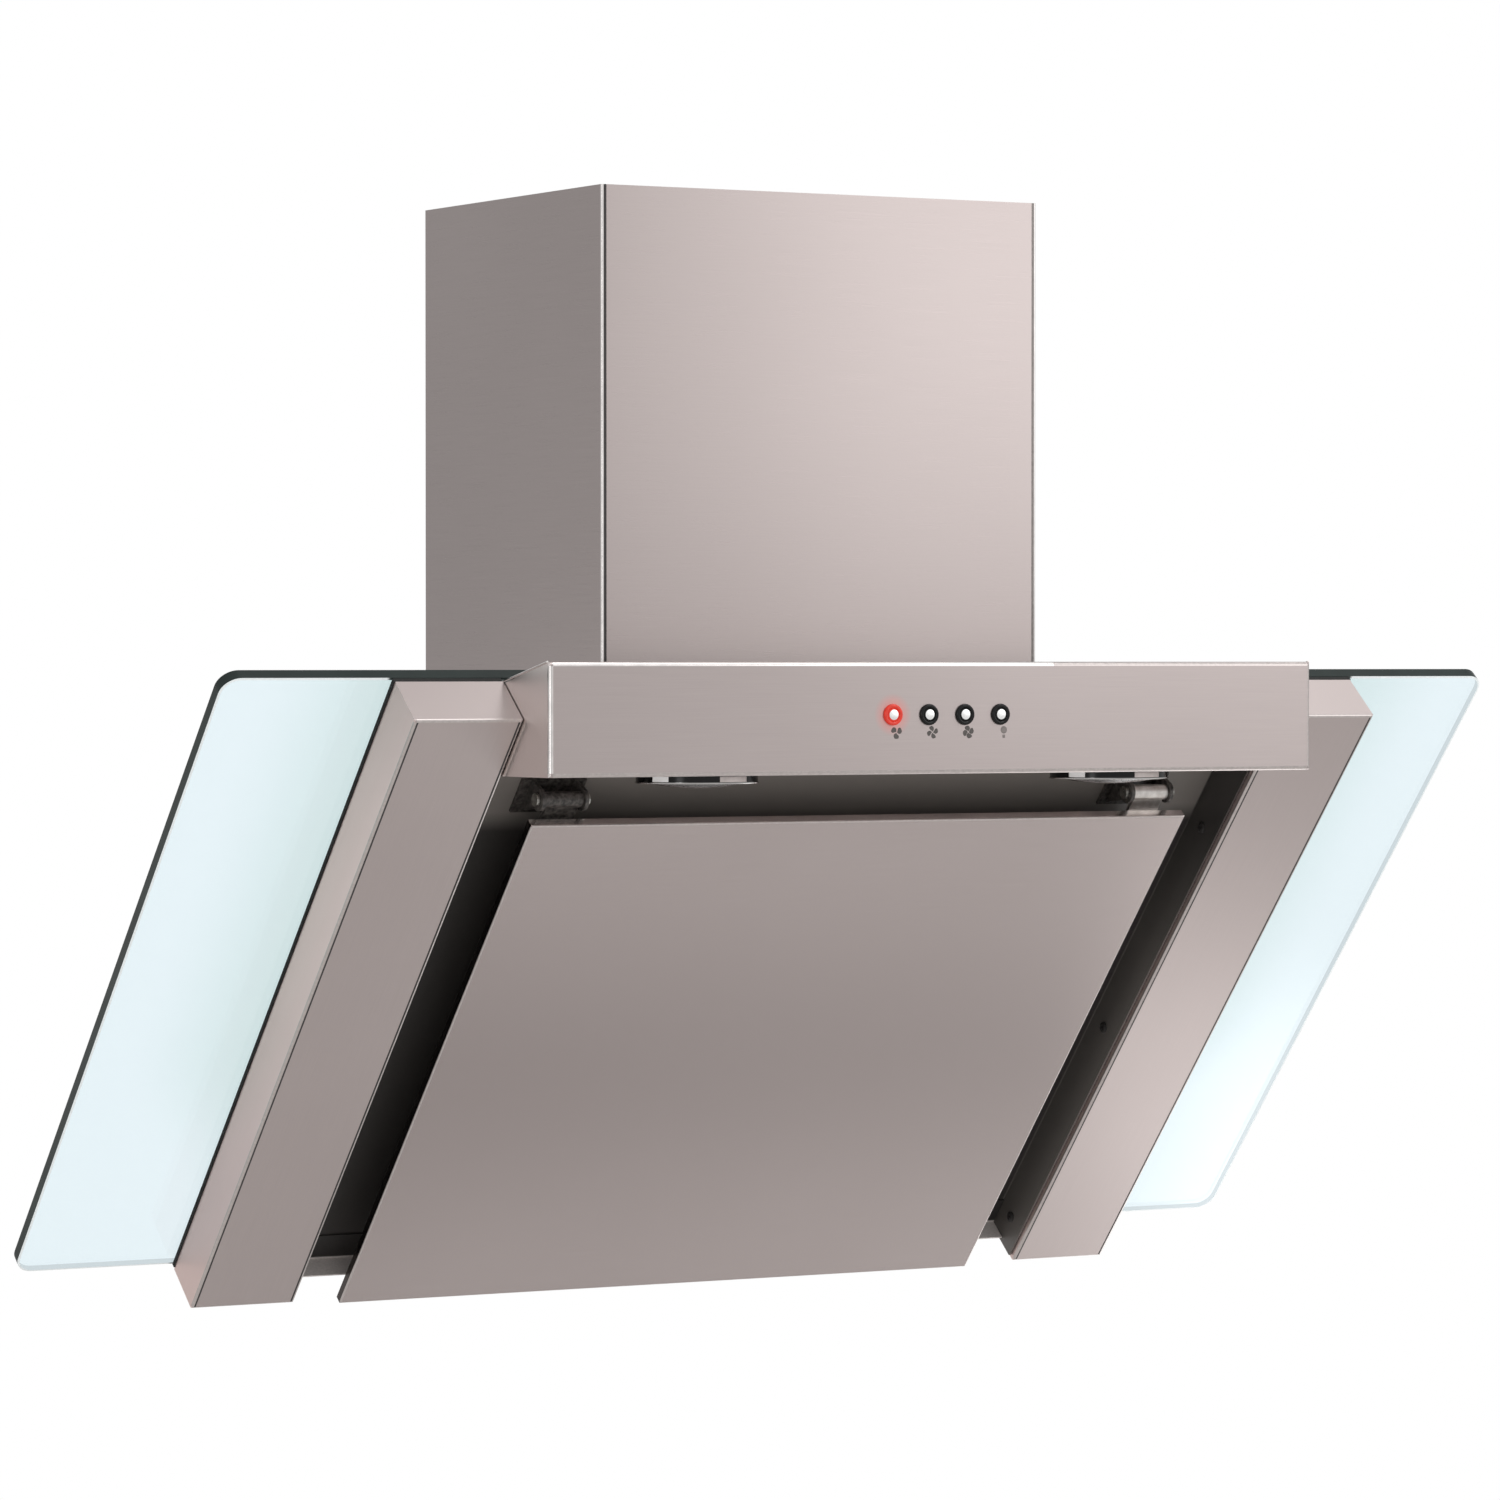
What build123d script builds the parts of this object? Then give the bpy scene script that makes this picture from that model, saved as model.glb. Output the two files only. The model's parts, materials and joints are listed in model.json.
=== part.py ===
"""Wall-mounted inclined range hood: slanted glass canopy, folded steel covers, chimney and blower.

Millimetres. X runs to the right, Y back to the wall at Y = 0, Z up. The origin is the centre of the
wall bracket's bolt holes, on the wall. Pieces on the glass are placed in the glass's own terms: x as
above, v down the slope from the top edge, n out of the front face.
"""
from build123d import *
import os
from math import cos, radians, sin, sqrt

# Glass canopy
GLASS_WIDTH = 900.0
GLASS_LENGTH = 493.0
GLASS_THICKNESS = 8.0
GLASS_TILT = 40.75
GLASS_CORNER = 12.0
GLASS_FOOT_GAP = 4.5
GLASS_TOP_Z = -20.0

# Sheet thicknesses, bends and working clearances
SHEET = 1.0
TRAY_SHEET = 1.5
FASCIA_SHEET = 1.2
GASKET = 3.0
BEND = 1.5
SLIP = 0.3
FIT_GAP = 0.5
OVERCUT = 2.0

# Pillars on the glass
PILLAR_WIDTH = 71.0
PILLAR_DEPTH = 38.0
PILLAR_SPAN = 540.0
PILLAR_OVERHANG = 1.5
PILLAR_GASKET_LIP = 0.7
PILLAR_GASKET_BAND = 7.0

# Base tray between the pillars
TRAY_WALL = 34.0
SILL_HEIGHT = 20.0
SILL_LEG = 22.0
SILL_SETBACK = 2.5

# Control fascia
FASCIA_PROJECTION = 61.0
FASCIA_HEIGHT = 68.6
FASCIA_RISE = 10.3
FASCIA_BEND = 2.5

# Push buttons, left to right
BUTTON_NAMES = ("speed_one", "speed_two", "speed_three", "light")
BUTTON_PITCH = 25.4
BUTTON_ROW_X = 2.0
BUTTON_DROP = 32.6
BUTTON_RADIUS = 4.2
BUTTON_TRAVEL = 2.0
BUTTON_DOME = 0.8
BUTTON_HEAD = 6.0
STEM_RADIUS = 2.5
BEZEL_RADIUS = 6.5
BEZEL_HEIGHT = 3.0
BEZEL_BARREL = 5.6
BEZEL_EDGE = 0.8
LIGHT_RING_WIDTH = 0.7
LIGHT_RING_DEPTH = 2.0

# Switch housing and control board behind the buttons
HOUSING_MARGIN = 14.0
HOUSING_HEIGHT = 28.0
HOUSING_DEPTH = 16.0
HOUSING_WALL = 2.0
CHAMBER_RADIUS = 5.0
CHAMBER_DEPTH = 8.0
GUIDE_LENGTH = 2.5
BOARD_THICKNESS = 1.6
SWITCH_SIDE = 6.0
SWITCH_HEIGHT = 2.5
RELAY_SIZE = (20.0, 16.0, 18.0)
CONNECTOR_SIZE = (14.0, 8.0, 8.0)

# Lamps in the underside of the fascia
LAMP_SPACING = 294.0
LAMP_SETBACK = 44.0
LAMP_RADIUS = 37.5
LAMP_TRIM_HEIGHT = 5.0
LAMP_TRIM_ROUND = 3.0
LENS_RADIUS = 30.0
LENS_THICKNESS = 2.0
LENS_DOME = 3.0
LAMP_CUP_RADIUS = 31.5
LAMP_CUP_HEIGHT = 28.0
LAMP_CUP_WALL = 1.5
LAMP_CUP_FLANGE = 3.5
EMITTER_RADIUS = 20.0
EMITTER_HEIGHT = 3.0

# Front panel and its hinges
PANEL_WIDTH = 470.0
PANEL_TOP_GAP = 13.6
PANEL_OVERHANG = 6.8
PANEL_FRONT = 36.0
PANEL_RETURN = 6.0
PANEL_DEPTH = 12.0
BACKING_INSET = 6.0
HINGE_SPACING = 422.0
HINGE_DROP = 6.8
HINGE_FRONT = 20.0
HINGE_PIN_RADIUS = 2.5
HINGE_PIN_HEAD = 4.0
HINGE_PIN_HEAD_LENGTH = 2.0
HINGE_CLEARANCE = 0.05
KNUCKLE_RADIUS = 5.0
KNUCKLE_WIDTH = 26.0
LEAF_WIDTH = 22.0
LEAF_LENGTH = 50.0
LEAF_THICKNESS = 2.5
EAR_RADIUS = 7.0
EAR_THICKNESS = 2.5
BRACKET_WIDTH = 44.0
BRACKET_BASE = 2.0
BRACKET_LENGTH = 26.0
BRACKET_CLEARANCE = 3.0
CATCH_SPACING = 360.0
CATCH_SIZE = (40.0, 14.0)
CATCH_RISE = 45.0
STRIKE_THICKNESS = 1.0

# Grease filter over the suction opening
FILTER_LAP = 8.0
FILTER_DEPTH = 9.0
FILTER_RAIL = 14.0
FILTER_MESH = 5.0
LUG_WIDTH = 40.0
LUG_SPACING = 160.0
LUG_THICKNESS = 2.0
LUG_LIP = 6.0
LATCH_WIDTH = 30.0
LATCH_LENGTH = 24.0
LATCH_THICKNESS = 2.0
LATCH_THROW = 6.0
LATCH_GRIP = 3.0
LATCH_TONGUE = 8.0
KEEPER_WALL = 2.0

# Chimney
FLUE_WIDTH = 315.0
FLUE_SETBACK = 85.5
FLUE_HEIGHT = 303.5
FLUE_BACK_GAP = 1.5
FLUE_SLIDE_GAP = 0.6
FLUE_GLASS_GAP = 1.0
UPPER_FLUE_RECESS = 3.5
FLUE_BRACKET_HEIGHT = 30.0
FLUE_BRACKET_DROP = 12.0
FLUE_BRACKET_EAR = 30.0
FLUE_BRACKET_SHEET = 1.5
FLUE_HOLE_SPACING = 120.0
FLUE_HOLE_RADIUS = 2.5

# Air box behind the glass
AIR_BACK_GAP = 10.0
AIR_RISE = 60.0
AIR_FOOT_RISE = 87.0
AIR_FLANGE = 22.0

# Wall bracket and hanger
WALL_BRACKET_WIDTH = 260.0
WALL_BRACKET_HEIGHT = 40.0
WALL_BRACKET_SHEET = 2.0
WALL_LIP_OFFSET = 6.0
WALL_LIP_RISE = 10.0
HANGER_LIP_GAP = 1.0
HANGER_LEG = 15.0
WALL_HOLE_RADIUS = 3.5
WALL_HOLE_SPACING_X = 200.0
WALL_HOLE_SPACING_Z = 20.0

# Duct collar and damper
COLLAR_RADIUS = 75.0
COLLAR_SHEET = 1.5
COLLAR_HEIGHT = 55.0
COLLAR_FLANGE = 88.0
DAMPER_RISE = 30.0
DAMPER_EDGE_GAP = 1.5
DAMPER_SHEET = 1.2
DAMPER_LEDGE = 3.0
SPINDLE_RADIUS = 2.5
SPINDLE_SOCKET_SKIN = 0.5
DAMPER_KNUCKLE = 4.5
DAMPER_KNUCKLE_LENGTH = 24.0
DAMPER_KNUCKLE_PITCH = 26.0
DAMPER_SLOT_GAP = 0.6

# Blower
IMPELLER_RADIUS = 58.0
IMPELLER_WIDTH = 100.0
IMPELLER_SHEET = 2.0
BLADE_COUNT = 24
BLADE_DEPTH = 11.0
BLADE_THICKNESS = 1.0
BLADE_ANGLE = 30.0
HUB_RADIUS = 12.0
HUB_LENGTH = 32.0
SCROLL_START = 64.0
SCROLL_GROWTH = 6.0
SCROLL_WIDTH = 120.0
SCROLL_WALL = 2.0
SCROLL_DROP = 40.0
SCROLL_BACK_GAP = 5.5
SCROLL_FLANGE = 10.0
INLET_RADIUS = 44.0
INLET_LIP = 6.0
SHAFT_RADIUS = 4.0
SHAFT_CLEARANCE = 0.05
MOTOR_RADIUS = 40.0
MOTOR_LENGTH = 64.0
MOTOR_STEP = 6.0
MOTOR_STEP_LENGTH = 14.0
MOTOR_BOSS = 13.5
MOTOR_BOSS_LENGTH = 2.0
SHAFT_TAIL = 50.0

# Electrical parts on the air box
TERMINAL_SIZE = (50.0, 90.0, 36.0)
TERMINAL_WALL = 2.0
TERMINAL_X = -122.0
TERMINAL_COVER = 3.0
GROMMET_RADIUS = 8.0
GROMMET_BORE = 4.0
GROMMET_FLANGE = 11.0
GROMMET_FLANGE_THICKNESS = 3.0
CAPACITOR_RADIUS = 17.0
CAPACITOR_LENGTH = 62.0
CAPACITOR_X = 122.0
CAPACITOR_STUD = 4.0

# Fasteners
BOLT_RADIUS = 2.5
BOLT_HEAD = 4.5
BOLT_HEAD_HEIGHT = 3.0
BOLT_HOLE = 2.75
BOLT_GLASS_HOLE = 4.0
BOLT_INSET = 6.5
BOLT_COLUMNS = 4
BOLT_ROWS = 2
BOLT_TAIL = 2.0
NUT_WIDTH = 8.0
NUT_HEIGHT = 4.0
SCREW_RADIUS = 2.0
SCREW_HOLE = 2.2
SCREW_HEAD = 3.5
SCREW_HEAD_HEIGHT = 2.0
SCREW_LENGTH = 8.0
PILLAR_SCREWS = 3
FLUE_SCREW_DROP = 60.0
FLUE_SCREW_SPACING = 110.0

# Glass plane
SIN = sin(radians(GLASS_TILT))
COS = cos(radians(GLASS_TILT))
GLASS_TOP_Y = -(GLASS_FOOT_GAP + GLASS_LENGTH * SIN + GLASS_THICKNESS * COS)
PANE = Plane(origin=(0, GLASS_TOP_Y, GLASS_TOP_Z), x_dir=(1, 0, 0), z_dir=(0, -COS, -SIN))


def pane_yz(v, n):
    """Y and Z of the point v down the slope and n out of the glass's front face."""
    return GLASS_TOP_Y + v * SIN - n * COS, GLASS_TOP_Z - v * COS - n * SIN


def v_at_height(z, n):
    """Distance down the slope at which the plane n off the glass is at height z."""
    return (GLASS_TOP_Z - n * SIN - z) / COS


def v_at_depth(y, n):
    """Distance down the slope at which the plane n off the glass is at depth y."""
    return (y - GLASS_TOP_Y + n * COS) / SIN


# Places that several pieces share
SEAT = GASKET + TRAY_SHEET
CASING_N = -(GLASS_THICKNESS + GASKET)
PILLAR_INNER = PILLAR_SPAN / 2
PILLAR_OUTER = PILLAR_INNER + PILLAR_WIDTH
TRAY_HALF = PILLAR_INNER - FIT_GAP
FASCIA_HALF = PILLAR_INNER - FIT_GAP
FASCIA_FRONT = GLASS_TOP_Y - FASCIA_PROJECTION
FASCIA_TOP = GLASS_TOP_Z + FASCIA_RISE
FASCIA_FOOT = FASCIA_TOP - FASCIA_HEIGHT
FASCIA_FOOT_V = v_at_height(FASCIA_FOOT, SEAT)
BUTTON_Z = FASCIA_TOP - BUTTON_DROP
BUTTON_REACH = BUTTON_PITCH * (len(BUTTON_NAMES) - 1) / 2
BUTTON_X = [BUTTON_ROW_X - BUTTON_REACH + BUTTON_PITCH * i for i in range(len(BUTTON_NAMES))]
FASCIA_INSIDE = FASCIA_FRONT + FASCIA_SHEET
HOUSING_BACK = FASCIA_INSIDE + HOUSING_DEPTH
GUIDE_BACK = FASCIA_INSIDE + CHAMBER_DEPTH + GUIDE_LENGTH
LAMP_Y = FASCIA_FRONT + LAMP_SETBACK
PANEL_HALF = PANEL_WIDTH / 2
PANEL_TOP_V = FASCIA_FOOT_V + PANEL_TOP_GAP
PANEL_FOOT_V = GLASS_LENGTH + PANEL_OVERHANG
PANEL_BACK = PANEL_FRONT - PANEL_DEPTH
HINGE_V = PANEL_TOP_V - HINGE_DROP
FLUE_HALF = FLUE_WIDTH / 2
FLUE_FRONT = GLASS_TOP_Y + FLUE_SETBACK
FLUE_TOP = GLASS_TOP_Z + FLUE_HEIGHT
AIR_HALF = FLUE_HALF - SHEET - FIT_GAP
AIR_FRONT = FLUE_FRONT + SHEET + FIT_GAP
AIR_TOP = GLASS_TOP_Z + AIR_RISE
AIR_TOP_V = v_at_depth(AIR_FRONT, CASING_N)
AIR_FOOT_V = GLASS_LENGTH - AIR_FOOT_RISE
AIR_FOOT = pane_yz(AIR_FOOT_V, CASING_N)[1]
CUT_HALF = AIR_HALF - AIR_FLANGE
CUT_TOP_V = AIR_TOP_V + AIR_FLANGE
CUT_FOOT_V = AIR_FOOT_V - AIR_FLANGE
FILTER_HALF = CUT_HALF + FILTER_LAP
FILTER_TOP_V = CUT_TOP_V - FILTER_LAP
FILTER_FOOT_V = CUT_FOOT_V + FILTER_LAP
FILTER_FRONT = SEAT + FILTER_DEPTH
SCROLL_Z = GLASS_TOP_Z - SCROLL_DROP
SCROLL_REAR = SCROLL_START + SCROLL_GROWTH / 2
SCROLL_FORE = SCROLL_START + 2.5 * SCROLL_GROWTH
SCROLL_Y = -(AIR_BACK_GAP + SHEET + SCROLL_BACK_GAP + SCROLL_WALL + SCROLL_REAR)
COLLAR_Y = SCROLL_Y + (SCROLL_GROWTH / 2 - SCROLL_FORE) / 2
COLLAR_BORE = COLLAR_RADIUS - COLLAR_SHEET
DAMPER_Z = AIR_TOP + DAMPER_RISE
HANGER_Z = WALL_BRACKET_HEIGHT / 2
HOOK_Z = HANGER_Z + WALL_LIP_RISE


def block(x, y, z):
    """A box between three pairs of limits."""
    size = [high - low for low, high in (x, y, z)]
    middle = [(low + high) / 2 for low, high in (x, y, z)]
    return Pos(*middle) * Box(*size)


def rod(radius, x, y, z):
    """A cylinder along the one axis that is given as a pair of limits."""
    turns = (Rot(0, 90, 0), Rot(90, 0, 0), Rot(0, 0, 0))
    run = next(i for i, place in enumerate((x, y, z)) if isinstance(place, tuple))
    low, high = (x, y, z)[run]
    centre = [sum(place) / 2 if isinstance(place, tuple) else place for place in (x, y, z)]
    return Pos(*centre) * turns[run] * Cylinder(radius, high - low)


def down(v):
    """A place or a pair of limits down the slope, in the pane's own y, which runs up it."""
    return (-v[1], -v[0]) if isinstance(v, tuple) else -v


def pane_block(x, v, n):
    """A box square to the glass."""
    return PANE * block(x, down(v), n)


def pane_rod(radius, x, v, n):
    """A cylinder square to the glass."""
    return PANE * rod(radius, x, down(v), n)


def side_prism(outline, x):
    """A prism along X with an outline of (y, z) corners."""
    corners = [(x[0], y, z) for y, z in outline]
    return extrude(make_face(Polyline(*corners, close=True)), amount=x[1] - x[0], dir=(1, 0, 0))


def pane_prism(outline, x):
    """A prism along X with an outline of (v, n) corners."""
    return side_prism([pane_yz(v, n) for v, n in outline], x)


def pane_ring(half, v, n, band):
    """A flat rectangular ring on the glass: outer limits and the width of its band."""
    outer = pane_block((-half, half), v, n)
    through = (n[0] - OVERCUT, n[1] + OVERCUT)
    return outer - pane_block((band - half, half - band), (v[0] + band, v[1] - band), through)


def spread(low, high, count):
    """Evenly spaced places from low to high."""
    return [low + (high - low) * i / (count - 1) for i in range(count)]


def bolt_places():
    """Places (x, v) of the bolts that clamp the glass between tray and air box."""
    edge = AIR_HALF - BOLT_INSET
    ends = (AIR_TOP_V + BOLT_INSET, AIR_FOOT_V - BOLT_INSET)
    rows = spread(*ends, BOLT_ROWS + 2)[1:-1]
    across = [(x, v) for v in ends for x in spread(-edge, edge, BOLT_COLUMNS)]
    return across + [(x, v) for x in (-edge, edge) for v in rows]


def drilled(solid, radius, n):
    """The solid with the bolts' holes through it, between two distances off the glass."""
    for x, v in bolt_places():
        solid -= pane_rod(radius, x, v, (n[0] - OVERCUT, n[1] + OVERCUT))
    return solid


def pillar_screw_places():
    """Places (v, n) of the screws between the tray's walls and the pillars."""
    first = PANEL_TOP_V + BRACKET_LENGTH
    last = GLASS_LENGTH - SILL_LEG
    return [(v, PILLAR_DEPTH / 2) for v in spread(first, last, PILLAR_SCREWS)]


def fascia_screw_place():
    """Place (v, n) of the screw between the fascia's end and the pillar."""
    return FASCIA_FOOT_V / 3, PILLAR_DEPTH * 2 / 3


def glass_canopy():
    """The pane: rounded corners, the suction opening and the bolt holes."""
    half = GLASS_WIDTH / 2
    pane = block((-half, half), (-GLASS_LENGTH, 0), (-GLASS_THICKNESS, 0))
    pane = PANE * fillet(pane.edges().filter_by(Axis.Z), GLASS_CORNER)
    depth = (-GLASS_THICKNESS - OVERCUT, OVERCUT)
    pane -= pane_block((-CUT_HALF, CUT_HALF), (CUT_TOP_V, CUT_FOOT_V), depth)
    return {"glass_canopy": drilled(pane, BOLT_GLASS_HOLE, (-GLASS_THICKNESS, 0))}


def gaskets():
    """Foam rings around the suction opening, on both faces of the glass."""
    nodes = {}
    for name, n in (("tray_gasket", (0, GASKET)), ("canopy_gasket", (CASING_N, -GLASS_THICKNESS))):
        ring = pane_ring(AIR_HALF, (AIR_TOP_V, AIR_FOOT_V), n, AIR_FLANGE)
        nodes[name] = drilled(ring, BOLT_GLASS_HOLE, n)
    return nodes


def base_tray():
    """Black tray: floor on the glass, side walls along the pillars, filter lugs and latch keeper."""
    tray = pane_block((-TRAY_HALF, TRAY_HALF), (0, GLASS_LENGTH), (GASKET, SEAT))
    depth = (GASKET - OVERCUT, SEAT + OVERCUT)
    tray -= pane_block((-CUT_HALF, CUT_HALF), (CUT_TOP_V, CUT_FOOT_V), depth)
    tray = drilled(tray, BOLT_HOLE, (GASKET, SEAT))
    under_fascia = FASCIA_FOOT - FIT_GAP
    wall_outline = [
        (v_at_height(under_fascia, GASKET), GASKET),
        (v_at_height(under_fascia, TRAY_WALL), TRAY_WALL),
        (GLASS_LENGTH, TRAY_WALL),
        (GLASS_LENGTH, GASKET),
    ]
    for side in (-1, 1):
        limits = sorted((side * (TRAY_HALF - TRAY_SHEET), side * TRAY_HALF))
        wall = pane_prism(wall_outline, limits)
        for v, n in pillar_screw_places():
            wall -= pane_rod(SCREW_HOLE, (limits[0] - OVERCUT, limits[1] + OVERCUT), v, n)
        tray += wall
        x = side * LUG_SPACING / 2
        lug_x = (x - LUG_WIDTH / 2, x + LUG_WIDTH / 2)
        lug_v = FILTER_FOOT_V + SLIP
        lip_n = FILTER_FRONT + SLIP
        tray += pane_block(lug_x, (lug_v, lug_v + LUG_THICKNESS), (SEAT, lip_n + LUG_THICKNESS))
        tray += pane_block(lug_x, (lug_v - LUG_LIP, lug_v), (lip_n, lip_n + LUG_THICKNESS))
    keeper_x = (-LATCH_WIDTH / 2, LATCH_WIDTH / 2)
    keeper_v = FILTER_TOP_V - LATCH_TONGUE
    keeper_n = FILTER_FRONT + 2 * SLIP + LATCH_THICKNESS
    tray += pane_block(keeper_x, (keeper_v - KEEPER_WALL, keeper_v), (SEAT, keeper_n + KEEPER_WALL))
    tray += pane_block(keeper_x, (keeper_v, FILTER_TOP_V - SLIP), (keeper_n, keeper_n + KEEPER_WALL))
    return {"base_tray": tray}


def tray_sill():
    """Steel angle along the tray's lower edge."""
    half = TRAY_HALF - TRAY_SHEET - SLIP
    foot = GLASS_LENGTH - SILL_SETBACK
    leg = pane_block((-half, half), (foot - SILL_LEG, foot), (SEAT, SEAT + SHEET))
    upright = pane_block((-half, half), (foot - SHEET, foot), (SEAT, SILL_HEIGHT))
    return {"tray_sill": leg + upright}


def pillars():
    """Folded covers on the glass, open at the back, each on a gasket."""
    nodes = {}
    foot = GLASS_LENGTH + PILLAR_OVERHANG
    for name, side in (("left", -1), ("right", 1)):
        x = tuple(sorted((side * PILLAR_INNER, side * PILLAR_OUTER)))
        cover = block(x, (-foot, 0), (GASKET, PILLAR_DEPTH))
        cover = fillet(cover.edges().group_by(Axis.Z)[-1], BEND)
        hollow_n = (GASKET - OVERCUT, PILLAR_DEPTH - SHEET)
        cover -= block((x[0] + SHEET, x[1] - SHEET), (SHEET - foot, -SHEET), hollow_n)
        cover = PANE * cover
        inner_wall = sorted((side * (PILLAR_INNER - OVERCUT), side * (PILLAR_INNER + SHEET + OVERCUT)))
        for v, n in pillar_screw_places() + [fascia_screw_place()]:
            cover -= pane_rod(SCREW_HOLE, tuple(inner_wall), v, n)
        nodes[f"{name}_pillar"] = cover
        band = PILLAR_GASKET_BAND
        edge = sorted((side * (PILLAR_INNER + FIT_GAP), side * (PILLAR_OUTER + PILLAR_GASKET_LIP)))
        strip = pane_block(edge, (0, GLASS_LENGTH), (0, GASKET))
        hollow = (edge[0] + band, edge[1] - band)
        strip -= pane_block(hollow, (band, GLASS_LENGTH - band), (-OVERCUT, GASKET + OVERCUT))
        nodes[f"{name}_pillar_gasket"] = strip
    return nodes


def pillar_screws():
    """Screws from the tray's channels and the fascia's ends into the pillars."""
    solids = []
    for side in (-1, 1):
        for v, n in pillar_screw_places():
            solids.append(side_screw(side, TRAY_HALF - TRAY_SHEET, v, n))
        solids.append(side_screw(side, FASCIA_HALF - FASCIA_SHEET, *fascia_screw_place()))
    return {"pillar_screws": Compound(solids)}


def side_screw(side, seat, v, n):
    """A pan-head screw along X, with its head on the inner side of a wall at distance seat."""
    head = sorted((side * (seat - SCREW_HEAD_HEIGHT), side * seat))
    shank = sorted((side * seat, side * (seat + SCREW_LENGTH)))
    return pane_rod(SCREW_HEAD, tuple(head), v, n) + pane_rod(SCREW_RADIUS, tuple(shank), v, n)


def control_fascia():
    """Folded box over the glass's top edge: sloping top, plain front, level underside, open back."""
    back = pane_yz(0, SEAT)
    foot = pane_yz(FASCIA_FOOT_V, SEAT)
    outline = [(FASCIA_FRONT, FASCIA_FOOT), (FASCIA_FRONT, FASCIA_TOP), back, foot]
    box = side_prism(outline, (-FASCIA_HALF, FASCIA_HALF))
    box = fillet(box.faces().sort_by(Axis.Y)[0].edges(), FASCIA_BEND)
    slope = (back[1] - FASCIA_TOP) / (back[0] - FASCIA_FRONT)
    drop = FASCIA_SHEET * sqrt(1 + slope**2)
    rear = foot[0] + FASCIA_HEIGHT

    def under_top(y):
        return FASCIA_TOP + slope * (y - FASCIA_FRONT) - drop

    hollow = [
        (FASCIA_INSIDE, FASCIA_FOOT + FASCIA_SHEET),
        (FASCIA_INSIDE, under_top(FASCIA_INSIDE)),
        (rear, under_top(rear)),
        (rear, FASCIA_FOOT + FASCIA_SHEET),
    ]
    box -= side_prism(hollow, (FASCIA_SHEET - FASCIA_HALF, FASCIA_HALF - FASCIA_SHEET))
    for x in BUTTON_X:
        box -= rod(BEZEL_BARREL + SLIP, x, (FASCIA_FRONT - OVERCUT, FASCIA_INSIDE + OVERCUT), BUTTON_Z)
    for side in (-1, 1):
        x = side * LAMP_SPACING / 2
        box -= rod(LAMP_CUP_RADIUS + FIT_GAP, x, LAMP_Y, (FASCIA_FOOT - OVERCUT, FASCIA_FOOT + OVERCUT))
        wall = sorted((side * (FASCIA_HALF - FASCIA_SHEET - OVERCUT), side * (FASCIA_HALF + OVERCUT)))
        box -= pane_rod(SCREW_HOLE, tuple(wall), *fascia_screw_place())
    return {"control_fascia": box}


def switch_housing():
    """Moulded housing behind the fascia that guides the buttons and carries the board."""
    reach = BUTTON_REACH + HOUSING_MARGIN
    x = (BUTTON_ROW_X - reach, BUTTON_ROW_X + reach)
    z = (BUTTON_Z - HOUSING_HEIGHT / 2, BUTTON_Z + HOUSING_HEIGHT / 2)
    body = block(x, (FASCIA_INSIDE, HOUSING_BACK), z)
    pocket_x = (x[0] + HOUSING_WALL, x[1] - HOUSING_WALL)
    pocket_z = (z[0] + HOUSING_WALL, z[1] - HOUSING_WALL)
    body -= block(pocket_x, (GUIDE_BACK, HOUSING_BACK + OVERCUT), pocket_z)
    for place in BUTTON_X:
        chamber = (FASCIA_INSIDE - OVERCUT, FASCIA_INSIDE + CHAMBER_DEPTH)
        body -= rod(max(CHAMBER_RADIUS, BEZEL_BARREL + SLIP), place, chamber, BUTTON_Z)
        body -= rod(STEM_RADIUS + SLIP, place, (FASCIA_INSIDE, HOUSING_BACK), BUTTON_Z)
    board = block(x, (HOUSING_BACK, HOUSING_BACK + BOARD_THICKNESS), z)
    return {"switch_housing": body, "control_board": board, "board_components": board_components(x)}


def board_components(board_x):
    """Switches in front of the board, relay and connector behind it."""
    half = SWITCH_SIDE / 2
    solids = []
    for x in BUTTON_X:
        z = (BUTTON_Z - half, BUTTON_Z + half)
        solids.append(block((x - half, x + half), (HOUSING_BACK - SWITCH_HEIGHT, HOUSING_BACK), z))
    back = HOUSING_BACK + BOARD_THICKNESS
    ends = (board_x[0] + HOUSING_MARGIN, board_x[1] - HOUSING_MARGIN)
    for x, size in zip(ends, (RELAY_SIZE, CONNECTOR_SIZE)):
        z = (BUTTON_Z - size[2] / 2, BUTTON_Z + size[2] / 2)
        solids.append(block((x - size[0] / 2, x + size[0] / 2), (back, back + size[1]), z))
    return Compound(solids)


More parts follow.
